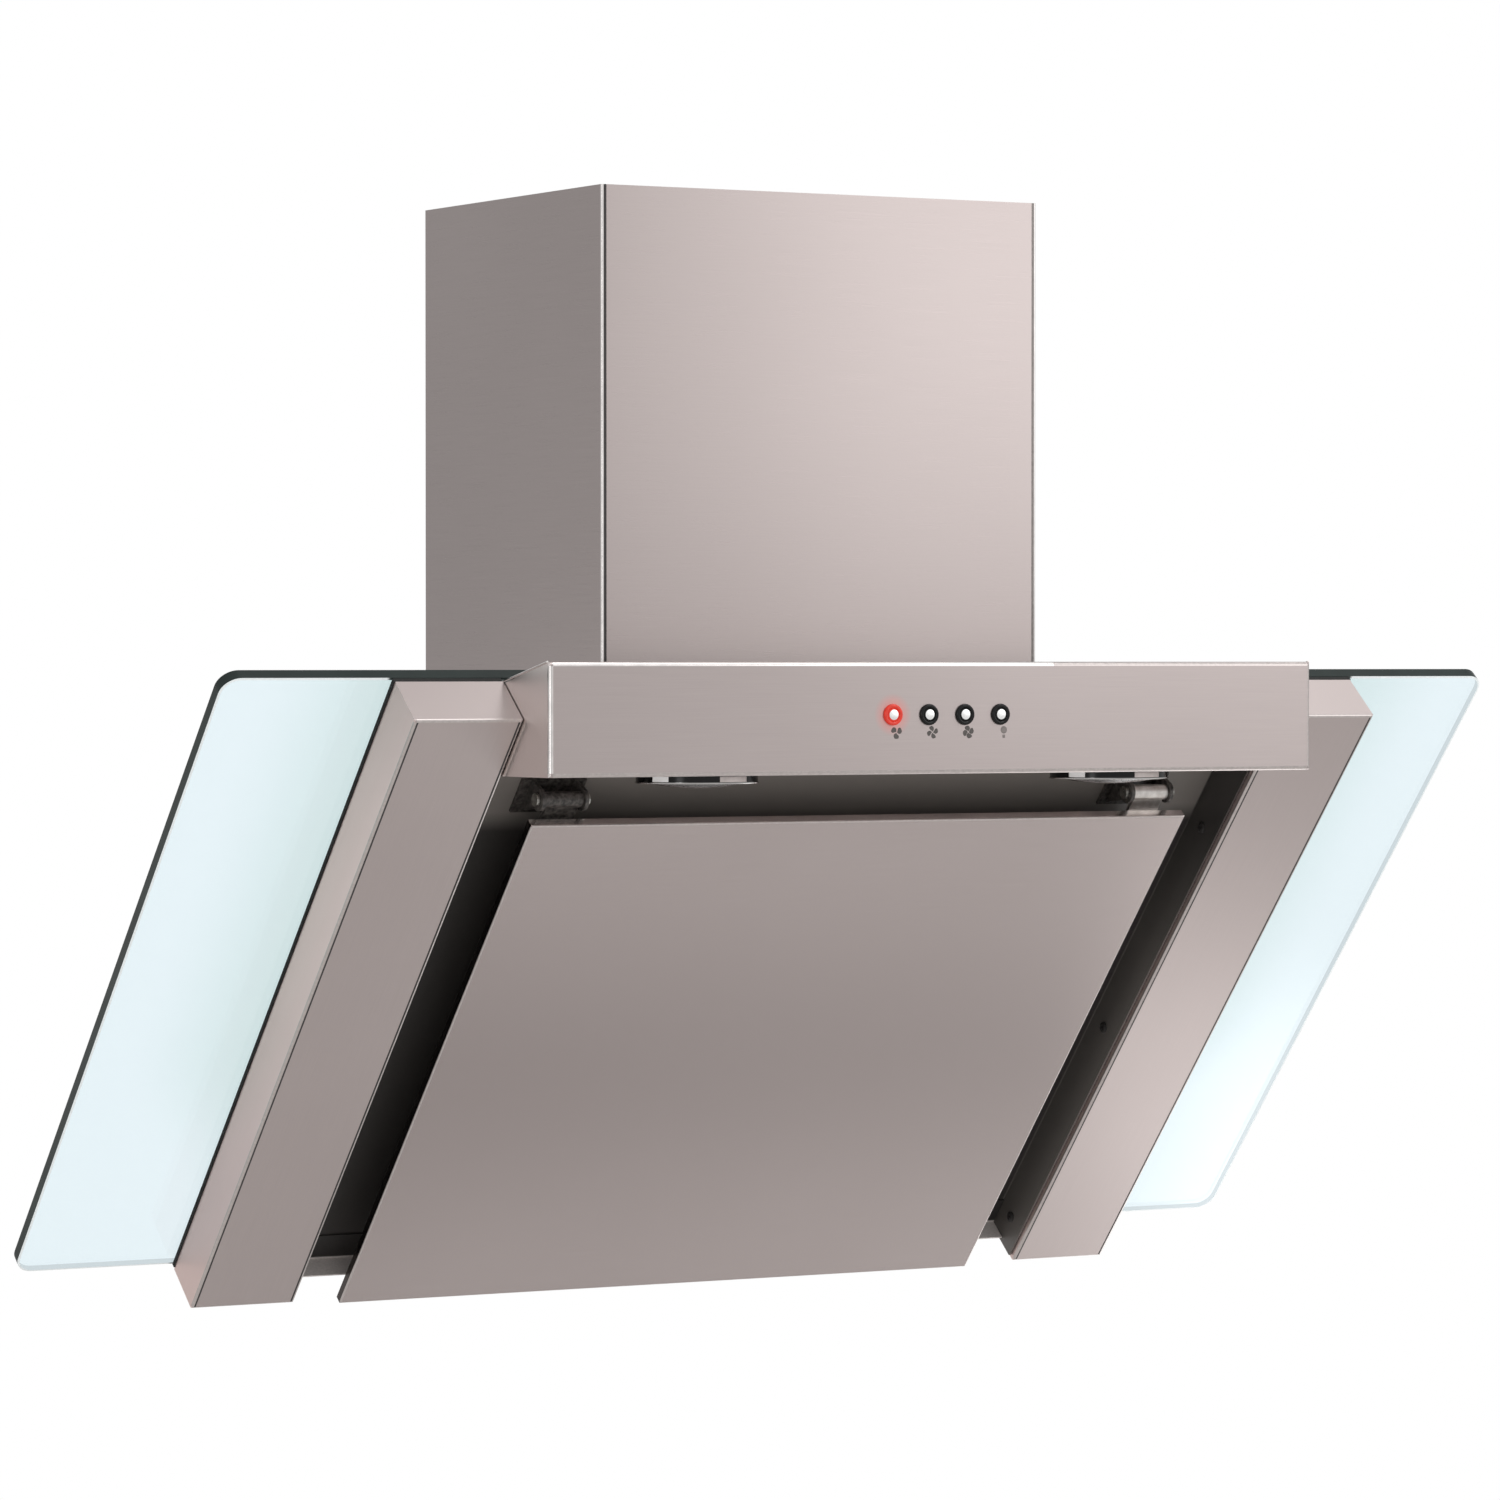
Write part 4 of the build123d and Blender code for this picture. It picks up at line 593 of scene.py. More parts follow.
def ground_glass_edge():
    """Ground edge of float glass: from outside dark grey-green; through the pane a faint grey line of painted
    shade, with no bending of the light.
    """
    finishes = bpy.context.scene.hood_finishes
    material, tree = blank("ground_glass_edge")
    haze = grain(tree, 30 * MM)
    face = toned(tree, haze, shade(finishes.glass_edge, 0.7), finishes.glass_edge)
    outside = add(tree, "BsdfPrincipled", {
        "Base Color": face, "Roughness": 0.4, "IOR": 1.5, "Specular IOR Level": 0.15})
    # Painted shade: seen through the pane, the edge is a darker tint of the glass that does not bend light
    inside = add(tree, "BsdfPrincipled", {
        "Base Color": shade(finishes.glass, 0.55), "Transmission Weight": 1.0, "Roughness": 0.1, "IOR": 1.0})
    side = add(tree, "NewGeometry").outputs["Backfacing"]
    return closed(material, add(tree, "MixShader", {0: side, 1: outside, 2: inside}))


def frosted_arris():
    """Ground arris of float glass: frosted white on the wings, dark between the pillars."""
    finishes = bpy.context.scene.hood_finishes
    material, tree = blank("frosted_arris")
    frost = grain(tree, 1 * MM)
    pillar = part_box("right_pillar")[1].x
    share = add(tree, "MapRange", {"Value": off_middle(tree), "From Min": pillar + 2 * MM,
                                   "From Max": pillar + 4 * MM})
    white = toned(tree, frost, "#E8EFF0", "#F6FBFC")
    face = add(tree, "Mix", {0: share, COLOUR_A: finishes.glass_edge, COLOUR_B: white}, data_type="RGBA")
    return surfaced(material, frost, face, (0.45, 0.6), 0.01 * MM)


def pressed_lamp_glass():
    """Pressed lamp glass: clear, with a satin face and a warm grey tint that is painted shade of the unlit
    lamp.
    """
    material, tree = blank("pressed_lamp_glass")
    frost = grain(tree, 1.5 * MM)
    # Painted shade: the grey tint darkens the lamp seen through the lens
    tint = toned(tree, frost, "#A8A4A1", "#BDB9B6")
    satin = add(tree, "Bump", {"Height": frost, "Distance": 0.05 * MM, "Strength": 0.5})
    return closed(material, add(tree, "BsdfPrincipled", {
        "Base Color": tint, "Transmission Weight": 1.0, "Roughness": 0.12, "IOR": 1.5, "Normal": satin}))


def lit_acrylic():
    """Red light-guide acrylic, lit from behind: deep red with a glow of its own."""
    finishes = bpy.context.scene.hood_finishes
    material, tree = blank("lit_red_acrylic")
    tint = toned(tree, grain(tree, 3 * MM), shade(finishes.lit_red, 0.75), finishes.lit_red)
    glow = {"Emission Color": (1.0, 0.06, 0.03), "Emission Strength": 0.18}
    return closed(material, add(tree, "BsdfPrincipled", {"Base Color": tint, "Roughness": 0.25, **glow}))


def circuit_board():
    """Glass-fibre board under green solder mask, with copper tracks 2.5 mm apart showing through."""
    material, tree = blank("solder_mask_board")
    place = add(tree, "TexCoord").outputs["Object"]
    tracks = add(tree, "TexBrick", {
        "Vector": place, "Color1": "#1C5433", "Color2": "#174A2C", "Mortar": "#2F7A4C",
        "Scale": 1 / (5 * MM), "Mortar Size": 0.08})
    return closed(material, add(tree, "BsdfPrincipled", {"Base Color": tracks, "Roughness": 0.35}))


def gloss_black(name):
    """Gloss ABS, polished in the mould: deep black under sharp highlights."""
    black = bpy.context.scene.hood_finishes.gloss_black
    return coated(name, shade(black, 0.7), black, 2, (0.14, 0.2), 0.002, 0.25)


def plated_steel(name):
    """Zinc-plated screws and pins: bright grey, faintly mottled."""
    return metal(name, "#A3A29C", "#C9C8C2", 3, (0.25, 0.38), 0.005)


def dress(material, *nodes):
    """The material in the slots of CAD nodes."""
    for name in nodes:
        materials = NODES[name].data.materials
        if not materials:
            materials.append(material)
        for i in range(len(materials)):
            materials[i] = material


# Operators

class HOOD_OT_stage(bpy.types.Operator):
    """Camera, pale floor, white surroundings and soft lamps."""

    bl_idname = "hood.stage"
    bl_label = "Stage"

    def execute(self, context):
        stage = context.scene.hood_stage
        self.camera(context.scene, stage)
        self.surroundings(context.scene, stage)
        self.floor(stage)
        self.lamps()
        context.scene.view_settings.view_transform = "Standard"
        return {"FINISHED"}

    def camera(self, scene, stage):
        """Camera whose axes are right, up and back of the view's turn and dip."""
        level = cos(stage.dip)
        ahead = Vector((sin(stage.turn) * level, cos(stage.turn) * level, -sin(stage.dip)))
        right = Vector((cos(stage.turn), -sin(stage.turn), 0.0))
        up = right.cross(ahead)
        made = bpy.data.objects.new("camera", bpy.data.cameras.new("camera"))
        made.data.lens = stage.lens
        made.data.sensor_width = 36.0
        axes = Matrix((right, up, -ahead)).transposed().to_4x4()
        made.matrix_world = Matrix.Translation(stage.place) @ axes
        scene.collection.objects.link(made)
        scene.camera = made

    def surroundings(self, scene, stage):
        """White as the camera sees it, also through glass.

        In gloss it is a pale backdrop, brightest up and to the front.
        """
        world = bpy.data.worlds.new("studio")
        world.use_nodes = True
        tree = world.node_tree
        tree.nodes.clear()
        way = add(tree, "TexCoord").outputs["Generated"]
        slope = add(tree, "VectorMath", {0: way, 1: stage.backdrop_slope}, operation="DOT_PRODUCT")
        gloss = add(tree, "Math", {0: slope, 1: stage.backdrop}, operation="ADD")
        path = add(tree, "LightPath").outputs
        lit = add(tree, "Mix", {0: path["Is Glossy Ray"], VALUE_A: stage.daylight, VALUE_B: gloss})
        bounces = add(tree, "Math", {0: path["Glossy Depth"], 1: path["Diffuse Depth"]}, operation="ADD")
        straight = add(tree, "Math", {0: bounces, 1: 0.5}, operation="LESS_THAN")
        through = add(tree, "Math", {0: path["Is Transmission Ray"], 1: straight}, operation="MULTIPLY")
        seen = add(tree, "Math", {0: path["Is Camera Ray"], 1: through}, operation="MAXIMUM")
        strength = add(tree, "Mix", {0: seen, VALUE_A: lit, VALUE_B: 1.0})
        sky = add(tree, "Background", {"Color": WHITE, "Strength": strength})
        add(tree, "OutputWorld", {"Surface": sky})
        scene.world = world

    def floor(self, stage):
        """Square floor: a flat grid of x and y that fades to white with the distance, not seen from below."""
        # Matt paper: pale, faintly clouded
        material, tree = blank("pale_paper")
        tint = toned(tree, grain(tree, 20 * MM), "#E5E4E3", "#ECEBEA")
        paper = add(tree, "BsdfPrincipled", {"Base Color": tint, "Roughness": 0.9})
        place = add(tree, "TexCoord").outputs["Object"]
        flat = add(tree, "VectorMath", {0: place, 1: (1, 1, 0)}, operation="MULTIPLY")
        reach = add(tree, "VectorMath", {0: flat}, operation="LENGTH")
        near, far = 0.4 * stage.floor_half, 0.95 * stage.floor_half
        fade = add(tree, "MapRange", {"Value": reach, "From Min": near, "From Max": far})
        seen = add(tree, "LightPath").outputs["Is Camera Ray"]
        share = add(tree, "Math", {0: fade, 1: seen}, operation="MULTIPLY")
        white = add(tree, "Emission", {"Color": WHITE, "Strength": 1.0})
        faded = add(tree, "MixShader", {0: share, 1: paper, 2: white})
        below = add(tree, "NewGeometry").outputs["Backfacing"]
        hidden = add(tree, "Math", {0: below, 1: seen}, operation="MULTIPLY")
        clear = add(tree, "BsdfTransparent")
        closed(material, add(tree, "MixShader", {0: hidden, 1: faded, 2: clear}))
        height = CAD_BOX[0].z - stage.floor_drop
        span = np.linspace(-stage.floor_half, stage.floor_half, 12)
        points, quads = lattice(np.stack(np.meshgrid(span, span, height, indexing="ij"), -1)[:, :, 0])
        mesh = bpy.data.meshes.new("floor")
        mesh.from_pydata(points.tolist(), [], quads.tolist())
        mesh.materials.append(material)
        made = bpy.data.objects.new("floor", mesh)
        bpy.context.scene.collection.objects.link(made)

    def lamps(self):
        """Soft boxes: name, place, the point each is turned to, width, height, brightness and colour.

        A lamp's watts are pi times its area times its brightness, which fades out towards its sides.
        """
        warm = (1.0, 0.94, 0.91)
        lamps = (
            ("key_lamp", (1.04, -1.35, 0.46), (0.10, -0.25, 0.20), 1.4, 1.2, 1.43, WHITE),
            ("top_lamp", (0.68, -0.70, 1.60), (0.10, -0.40, 0.00), 1.6, 0.9, 2.6, WHITE),
            ("edge_lamp", (-1.95, -1.35, 0.10), (-0.15, -0.30, 0.05), 0.6, 1.4, 2.6, WHITE),
            ("left_lamp", (-1.06, 0.80, -0.28), (-0.34, -0.20, -0.20), 0.5, 0.55, 1.25, warm),
            ("right_lamp", (0.778, 0.083, -0.777), (0.472, -0.132, -0.257), 0.7, 0.42, 2.0, WHITE),
            ("pillar_lamp", (0.645, -0.22, -0.73), (0.465, -0.347, -0.17), 0.36, 0.07, 2.2, WHITE),
        )
        for name, place, aim, width, height, brightness, tint in lamps:
            light = bpy.data.lights.new(name, "AREA")
            light.shape = "RECTANGLE"
            light.size = width
            light.size_y = height
            light.energy = pi * width * height * brightness
            light.color = tint
            self.fade(light)
            made = bpy.data.objects.new(name, light)
            made.location = place
            made.rotation_euler = (Vector(aim) - Vector(place)).to_track_quat("-Z", "Y").to_euler()
            made.visible_camera = False
            bpy.context.scene.collection.objects.link(made)

    def fade(self, light):
        """The lamp's brightness over its face: full in the middle, falling smoothly over the outer parts."""
        outer_part = 0.3
        light.use_nodes = True
        tree = light.node_tree
        tree.nodes.clear()
        spot = add(tree, "NewGeometry").outputs["Parametric"]
        shares = add(tree, "SeparateXYZ", {0: spot}).outputs
        fades = []
        for share in (shares["X"], shares["Y"]):
            inward = add(tree, "Math", {0: share, 1: 0.5}, operation="PINGPONG")
            fades.append(add(tree, "MapRange", {"Value": inward, "From Max": outer_part},
                             interpolation_type="SMOOTHSTEP"))
        strength = add(tree, "Math", dict(enumerate(fades)), operation="MULTIPLY")
        glow = add(tree, "Emission", {"Color": WHITE, "Strength": strength})
        add(tree, "OutputLight", {"Surface": glow})


class HOOD_OT_sheet_steel(bpy.types.Operator):
    """Brushed finish of the covers, the panel and the sill."""

    bl_idname = "hood.sheet_steel"
    bl_label = "Sheet steel"

    def execute(self, context):
        finishes = context.scene.hood_finishes
        # Sizes of a brushing streak along X, Y and Z, or along X, slope and face
        long, fine = 50 * MM, 0.4 * MM
        level, slope, fall = (long, long, fine), (long, fine, fine), (fine, long, fine)
        # Gloss spreads at right angles to the brushing; a little askew, so that no face is square to it
        upright, across = (0.05, 0.05, 1.0), (1.0, 0.05, 0.05)
        along = tuple(DOWN + 0.05 * ACROSS)
        # The fascia, panel and pillars take lighter copies of the same steel through their tone: painted
        # light
        flue = brushed_stainless("stainless_brushed_flue", level, (0.27, 0.33), upright)
        # The fascia's steel gets a red glow painted round the lit ring, and its ends a lighter copy: painted
        # light
        fascia = brushed_stainless("stainless_brushed_fascia", level, (0.30, 0.36), upright, tone=1.06,
                                   sides=[(ACROSS, finishes.end_painted_light)], painted_red_glow=on_fascia("indicator_ring"))
        # Painted shade: a soft darker strip across the middle of the panel
        spots = cad_points("front_panel") @ DOWN
        painted_shade_strip = (float(spots.min() + spots.max()) / 2, 0.5 * float(np.ptp(spots)))
        # The panel's top and bottom edges take the lighter end colour, painted light, and its flanks a dark
        # one, painted shade
        ends = [(DOWN, finishes.end_painted_light), (ACROSS, finishes.panel_flank_painted_shade)]
        panel = brushed_stainless("stainless_brushed_panel", slope, (0.19, 0.22), along, tone=1.14,
                                  sides=ends, painted_shade_band=painted_shade_strip, turn=SLOPE_TURN)
        # The pillars' flanks take a lighter, pinker copy of the steel: painted light
        pillar = brushed_stainless("stainless_brushed_pillar", fall, (0.36, 0.42), across, tone=1.14,
                                   sides=[(ACROSS, finishes.pillar_flank_painted_light)], turn=SLOPE_TURN)
        dress(flue, "lower_flue_cover", "upper_flue_cover")
        dress(fascia, "control_fascia")
        dress(panel, "front_panel", "panel_backing")
        dress(pillar, "left_pillar", "right_pillar")
        dress(sill_paint(), "tray_sill")
        return {"FINISHED"}


class HOOD_OT_bright_folds(bpy.types.Operator):
    """Folded edges of the sheets: a bright painted highlight on the chimney and part of the fascia, a paler
    satin one elsewhere.
    """

    bl_idname = "hood.bright_folds"
    bl_label = "Bright folds"

    def execute(self, context):
        sizes = context.scene.hood_sizes
        finishes = context.scene.hood_finishes
        # Bright painted highlight on the bends: much paler than the steel, near a mirror
        bright = metal("stainless_fold_painted_highlight", shade(finishes.fold, 0.85), finishes.fold, 8, (0.10, 0.18),
                       0.005)
        # Satin painted highlight on the bends: paler than the faces, soft gloss
        satin = metal("stainless_satin_fold", shade(finishes.satin_fold_painted_highlight, 0.85), finishes.satin_fold_painted_highlight, 2,
                      (0.28, 0.36), 0.005)
        self.fascia_folds(sizes.fascia_bend, bright, satin)
        low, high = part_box("lower_flue_cover")
        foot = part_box("control_fascia")[0].z
        corners = []
        for side in (-1, 1):
            line = [np.array((side * high.x, low.y, z)) for z in (foot, high.z)]
            corners.append(folded_edge(*line, FORWARD, side * ACROSS, sizes.sheet_bend))
        piece("flue_folds", corners, [bright], "hood", "brushed_stainless")
        for node, body, bend in (("front_panel", "panel", sizes.panel_bend),
                                 ("left_pillar", "hood", sizes.sheet_bend),
                                 ("right_pillar", "hood", sizes.sheet_bend)):
            low, high = pane_box(cad_points(node))
            folds = self.frame_folds(on_pane(0.0, 0.0, high[2]), (low[0], high[0]), (low[1], high[1]),
                                     OUT, DOWN, bend)
            piece(f"{node}_folds", folds, [satin], body, "brushed_stainless")
        return {"FINISHED"}

    def fascia_folds(self, bend, bright, satin):
        """Fascia's folds, and a rolled bead on each end's sloping top edge, which ends above the glass.

        The left fold, and the top one to the middle of the chimney's right half, carry the bright painted
        highlight.
        """
        seat, bead = 3 * MM, 0.7 * MM
        low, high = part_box("control_fascia")
        left, foot, right = self.frame_folds(np.array((0.0, low.y, 0.0)), (low.x, high.x), (low.z, high.z),
                                             FORWARD, UP, bend)[:3]
        stops = (low.x + bend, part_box("lower_flue_cover")[1].x / 2, high.x - bend)
        spots = [np.array((x, low.y, high.z)) for x in stops]
        first, rest = (folded_edge(*ends, FORWARD, UP, bend) for ends in zip(spots, spots[1:]))
        back = on_pane(0.0, 0.0, seat)
        beads = [rolled_bead((x, low.y + bend, high.z), (x, back[1], back[2]), bead) for x in (low.x, high.x)]
        piece("fascia_folds", [left, first, beads[0], foot, right, rest, beads[1]],
              [bright, bright, bright, satin, satin, satin, satin], "hood", "brushed_stainless")

    def frame_folds(self, origin, span, reach, face, along, bend):
        """The four folds round a rectangular face, each stopping short of the corners by the bend's radius.

        A point of the face is its origin plus x across and t along.
        """
        def place(x, t):
            return origin + x * ACROSS + t * along

        folds = []
        for i, sign in enumerate((-1, 1)):
            folds.append(folded_edge(place(span[i], reach[0] + bend), place(span[i], reach[1] - bend),
                                     face, sign * ACROSS, bend))
            folds.append(folded_edge(place(span[0] + bend, reach[i]), place(span[1] - bend, reach[i]),
                                     face, sign * along, bend))
        return folds


class HOOD_OT_sheet_seams(bpy.types.Operator):
    """Dark lines beside the folds of the chimney and the pillars, painted shade of the gaps on low filled
    ridges, the chimney's right one paler.
    """

    bl_idname = "hood.sheet_seams"
    bl_label = "Sheet seams"

    def execute(self, context):
        sizes = context.scene.hood_sizes
        # Painted shade of the gap beside the bright fold, on a thin filled ridge: dull, brown-black, the
        # paler one grey
        filler = coated("painted_gap_shade", "#1B1716", "#2A2523", 2, (0.4, 0.5), 0.02)
        pale = coated("pale_painted_gap_shade", "#7D7673", "#8F8885", 2, (0.4, 0.5), 0.02)
        low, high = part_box("lower_flue_cover")
        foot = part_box("control_fascia")[0].z
        inset = sizes.sheet_bend + sizes.chimney_seam / 2
        flue = []
        for x in (inset - high.x, high.x - inset):
            line = [np.array((x, low.y, z)) for z in (foot, high.z)]
            flue.append(filled_seam(*line, ACROSS, FORWARD, sizes.chimney_seam))
        piece("flue_seams", flue, [filler, pale], "hood", "seal_rubber")
        inset = sizes.sheet_bend + sizes.pillar_seam / 2
        for side in SIDES:
            low, high = pane_box(cad_points(f"{side}_pillar"))
            seams = []
            for x in (low[0] + inset, high[0] - inset):
                line = on_pane(x, (low[1] + sizes.sheet_bend, high[1] - sizes.sheet_bend), high[2])
                seams.append(filled_seam(*line, ACROSS, OUT, sizes.pillar_seam))
            piece(f"{side}_pillar_seams", seams, [filler], "hood", "seal_rubber")
        return {"FINISHED"}


class HOOD_OT_glass_pane(bpy.types.Operator):
    """Glass canopy with rounded corners, ground edges and the suction opening."""

    bl_idname = "hood.glass_pane"
    bl_label = "Glass pane"

    def execute(self, context):
        sizes = context.scene.hood_sizes
        low, high = pane_box(cad_points("filter_frame"))
        half, reach = PANE_HIGH.x, PANE_LENGTH / 2
        arris, hole_corner = sizes.arris, 4 * MM
        hole_half = high[0] - sizes.filter_lap
        hole_reach = (high[1] - low[1]) / 2 - sizes.filter_lap
        rims = {
            "edge": self.outline(half, reach, reach, sizes.corner),
            "inset": self.outline(half - arris, reach - arris, reach, sizes.corner - arris),
            "hole": self.outline(hole_half, hole_reach, (low[1] + high[1]) / 2, hole_corner),
        }
        # The faces stay clear of the gaskets, and the arris is three tenths as deep as it is wide
        clear = 0.05 * MM
        front, back, fall = -clear, clear - PANE_THICKNESS, 0.3 * arris
        loops = [("hole", front), ("inset", front), ("edge", front - fall), ("edge", back + fall),
                 ("inset", back), ("hole", back), ("hole", front)]
        rows = [on_pane(*rims[rim], depth) for rim, depth in loops]
        bands = [lattice(np.stack(pair), close_v=True) for pair in zip(rows, rows[1:])]
        glass, edge = float_glass(), ground_glass_edge()
        finishes = [glass, frosted_arris(), edge, edge, glass, edge]
        made = piece("glass_pane", bands, finishes, "hood", "canopy_glass", "glass_canopy")
        made.data.shade_flat()
        return {"FINISHED"}

    def outline(self, half, reach, middle, radius, steps=12):
        """Rounded rectangle: four quarter circles about the corners' centres, as x and v."""
        turn = np.linspace(0, pi / 2, steps)
        angle = np.concatenate([turn + quarter * pi / 2 for quarter in range(4)])
        sign_x = np.repeat((1, -1, -1, 1), steps)
        sign_v = np.repeat((1, 1, -1, -1), steps)
        x = sign_x * (half - radius) + radius * np.cos(angle)
        v = middle + sign_v * (reach - radius) + radius * np.sin(angle)
        return x, v


class HOOD_OT_push_buttons(bpy.types.Operator):
    """Button rings and caps with a bright insert; the first ring is lit red, and its cap's rim shows a
    painted red glow.
    """

    bl_idname = "hood.push_buttons"
    bl_label = "Push buttons"

    def execute(self, context):
        sizes = context.scene.hood_sizes
        black, red = gloss_black("gloss_abs"), lit_acrylic()
        # Polished aluminium: a near-white spot in the black cap
        insert = metal("polished_aluminium_insert", "#F1F0EE", "#FFFFFF", 6, (0.22, 0.30), 0.002)
        # The real rings and caps stand low: to these shares of their solids' height
        ring_share, cap_share = 0.62, 0.45
        play = 0.05 * MM
        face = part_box("control_fascia")[0].y
        low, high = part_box("button_bezels")
        proud = ring_share * (face - low.y)
        sleeve = high.y - face
        rings = []
        for name in BUTTONS:
            low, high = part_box(f"{name}_button")
            radius = (high.x - low.x) / 2
            place = on_fascia(f"{name}_button")
            rings.append(self.bezel(place, radius + play, proud, sleeve))
            patches = self.cap(place, radius, sizes.cap_insert, cap_share * (face - low.y), high.y - face)
            # Painted glow: the first cap's rim takes the lit red of the ring, though no lamp is in it
            rim = red if name == BUTTONS[0] else black
            piece(f"{name}_cap_head", patches, [insert, rim], f"{name}_cap", "button_metal", f"{name}_button")
        piece("lit_ring", rings[:1], [red], "hood", "indicator_red", "indicator_ring", "button_bezels")
        piece("button_rings", rings[1:], [black], "hood", "bezel_plastic", "button_bezels")
        return {"FINISHED"}

    def bezel(self, place, bore, proud, sleeve):
        """Ring turned about the bore: a rounded crown that falls to the fascia, and a sleeve behind it."""
        angle = np.linspace(0, pi / 2, 9)
        crown, brim, lip = 5.2 * MM, 6.5 * MM, 0.4 * MM
        radius = crown + (brim - crown) * np.cos(angle)
        height = lip + (proud - lip) * np.sin(angle)
        outer = bore + 0.9 * MM
        radius = np.concatenate(((bore, outer, outer, brim), radius, (bore + 0.4 * MM, bore)))
        height = np.concatenate(((-sleeve, -sleeve, 0, 0), height, (proud - 0.2 * MM, proud - 0.7 * MM)))
        return ring(np.stack((radius, height), 1), place, FORWARD, 48)

    def cap(self, place, radius, insert, front, back):
        """Cap: a low bright dome let into a black rim, whose stem goes back to the switch; both turned."""
        stem, shoulder = 2 * MM, -3 * MM
        share = np.linspace(0, 1, 9)
        dome = np.stack((insert * share, front - 0.25 * MM * share**2), 1)
        bright = np.vstack((dome, [(insert, front - 1.5 * MM), (0, front - 1.5 * MM)]))
        seat = insert + 0.02 * MM
        edge = front - 0.9 * MM
        rim = [(0, front - 1.4 * MM), (seat, front - 1.4 * MM), (seat, front - 0.35 * MM),
               (seat + 0.4 * MM, front - 0.4 * MM), (radius - 0.2 * MM, edge + 0.25 * MM), (radius, edge),
               (radius, shoulder), (stem, shoulder), (stem, -back), (0, -back)]
        return [spun(bright, place, FORWARD), spun(rim, place, FORWARD)]


class HOOD_OT_button_marks(bpy.types.Operator):
    """Printed marks under the buttons: three fans, fuller for each speed, and a lamp."""

    bl_idname = "hood.button_marks"
    bl_label = "Button marks"

    def execute(self, context):
        sizes = context.scene.hood_sizes
        finishes = context.scene.hood_finishes
        # Number of blades, degrees to the first, and half the angle that each fills
        fans = {"speed_one": (3, 20, 0.78), "speed_two": (4, 10, 0.62), "speed_three": (4, 10, 0.74)}
        offset = sizes.icon_shift * ACROSS + sizes.ink / 4 * FORWARD - sizes.icon_drop * UP
        for name in BUTTONS:
            centre = on_fascia(f"{name}_button") + offset
            tone = finishes.ink if name in fans else finishes.faint_ink
            # Screen-printed ink: flat, dull grey
            ink = coated(f"printed_ink_{name}", shade(tone, 0.85), tone, 0.4, (0.5, 0.65), 0.01)
            if name in fans:
                blades, start, spread = fans[name]
                patches = [self.blade(centre, sizes.icon_radius, radians(start) + tau * i / blades, spread)
                           for i in range(blades)]
            else:
                patches = self.bulb(centre, sizes.icon_radius)
            made = piece(f"{name}_mark", patches, [ink], "hood", "black_plastic")
            skin = made.modifiers.new("ink", "SOLIDIFY")
            skin.thickness = sizes.ink
            skin.offset = 0.0
        return {"FINISHED"}

    def blade(self, centre, radius, start, spread):
        """Fan blade: its middle line leans as it goes out, and its half angle swells and closes."""
        hub, lean = 0.12, 0.35
        share = np.linspace(0, 1, 9)[:, None]
        side = np.linspace(-1, 1, 7)[None, :]
        reach = radius * (hub + (1 - hub) * share)
        angle = start + lean * (share - 0.5) + side * spread * np.sin(pi * (0.2 + 0.65 * share))
        across = np.cos(angle)[..., None] * ACROSS + np.sin(angle)[..., None] * UP
        return lattice(centre + reach[..., None] * across)

    def bulb(self, centre, radius):
        """Lamp mark: a disc for the bulb, turned about the fascia's normal, and a short bar for its cap."""
        round_share, rise, half_cap, cap_top, cap_foot = 0.58, 0.3, 0.24, -0.45, -0.95
        rows = np.linspace(0, round_share, 4) * radius
        disc = turned(rows, np.zeros(4), centre + rise * radius * UP, FORWARD, 32)
        x = np.array((-half_cap, half_cap))[:, None, None] * radius * ACROSS
        z = np.array((cap_top, cap_foot))[None, :, None] * radius * UP
        return [lattice(disc, close_v=True), lattice(centre + x + z)]


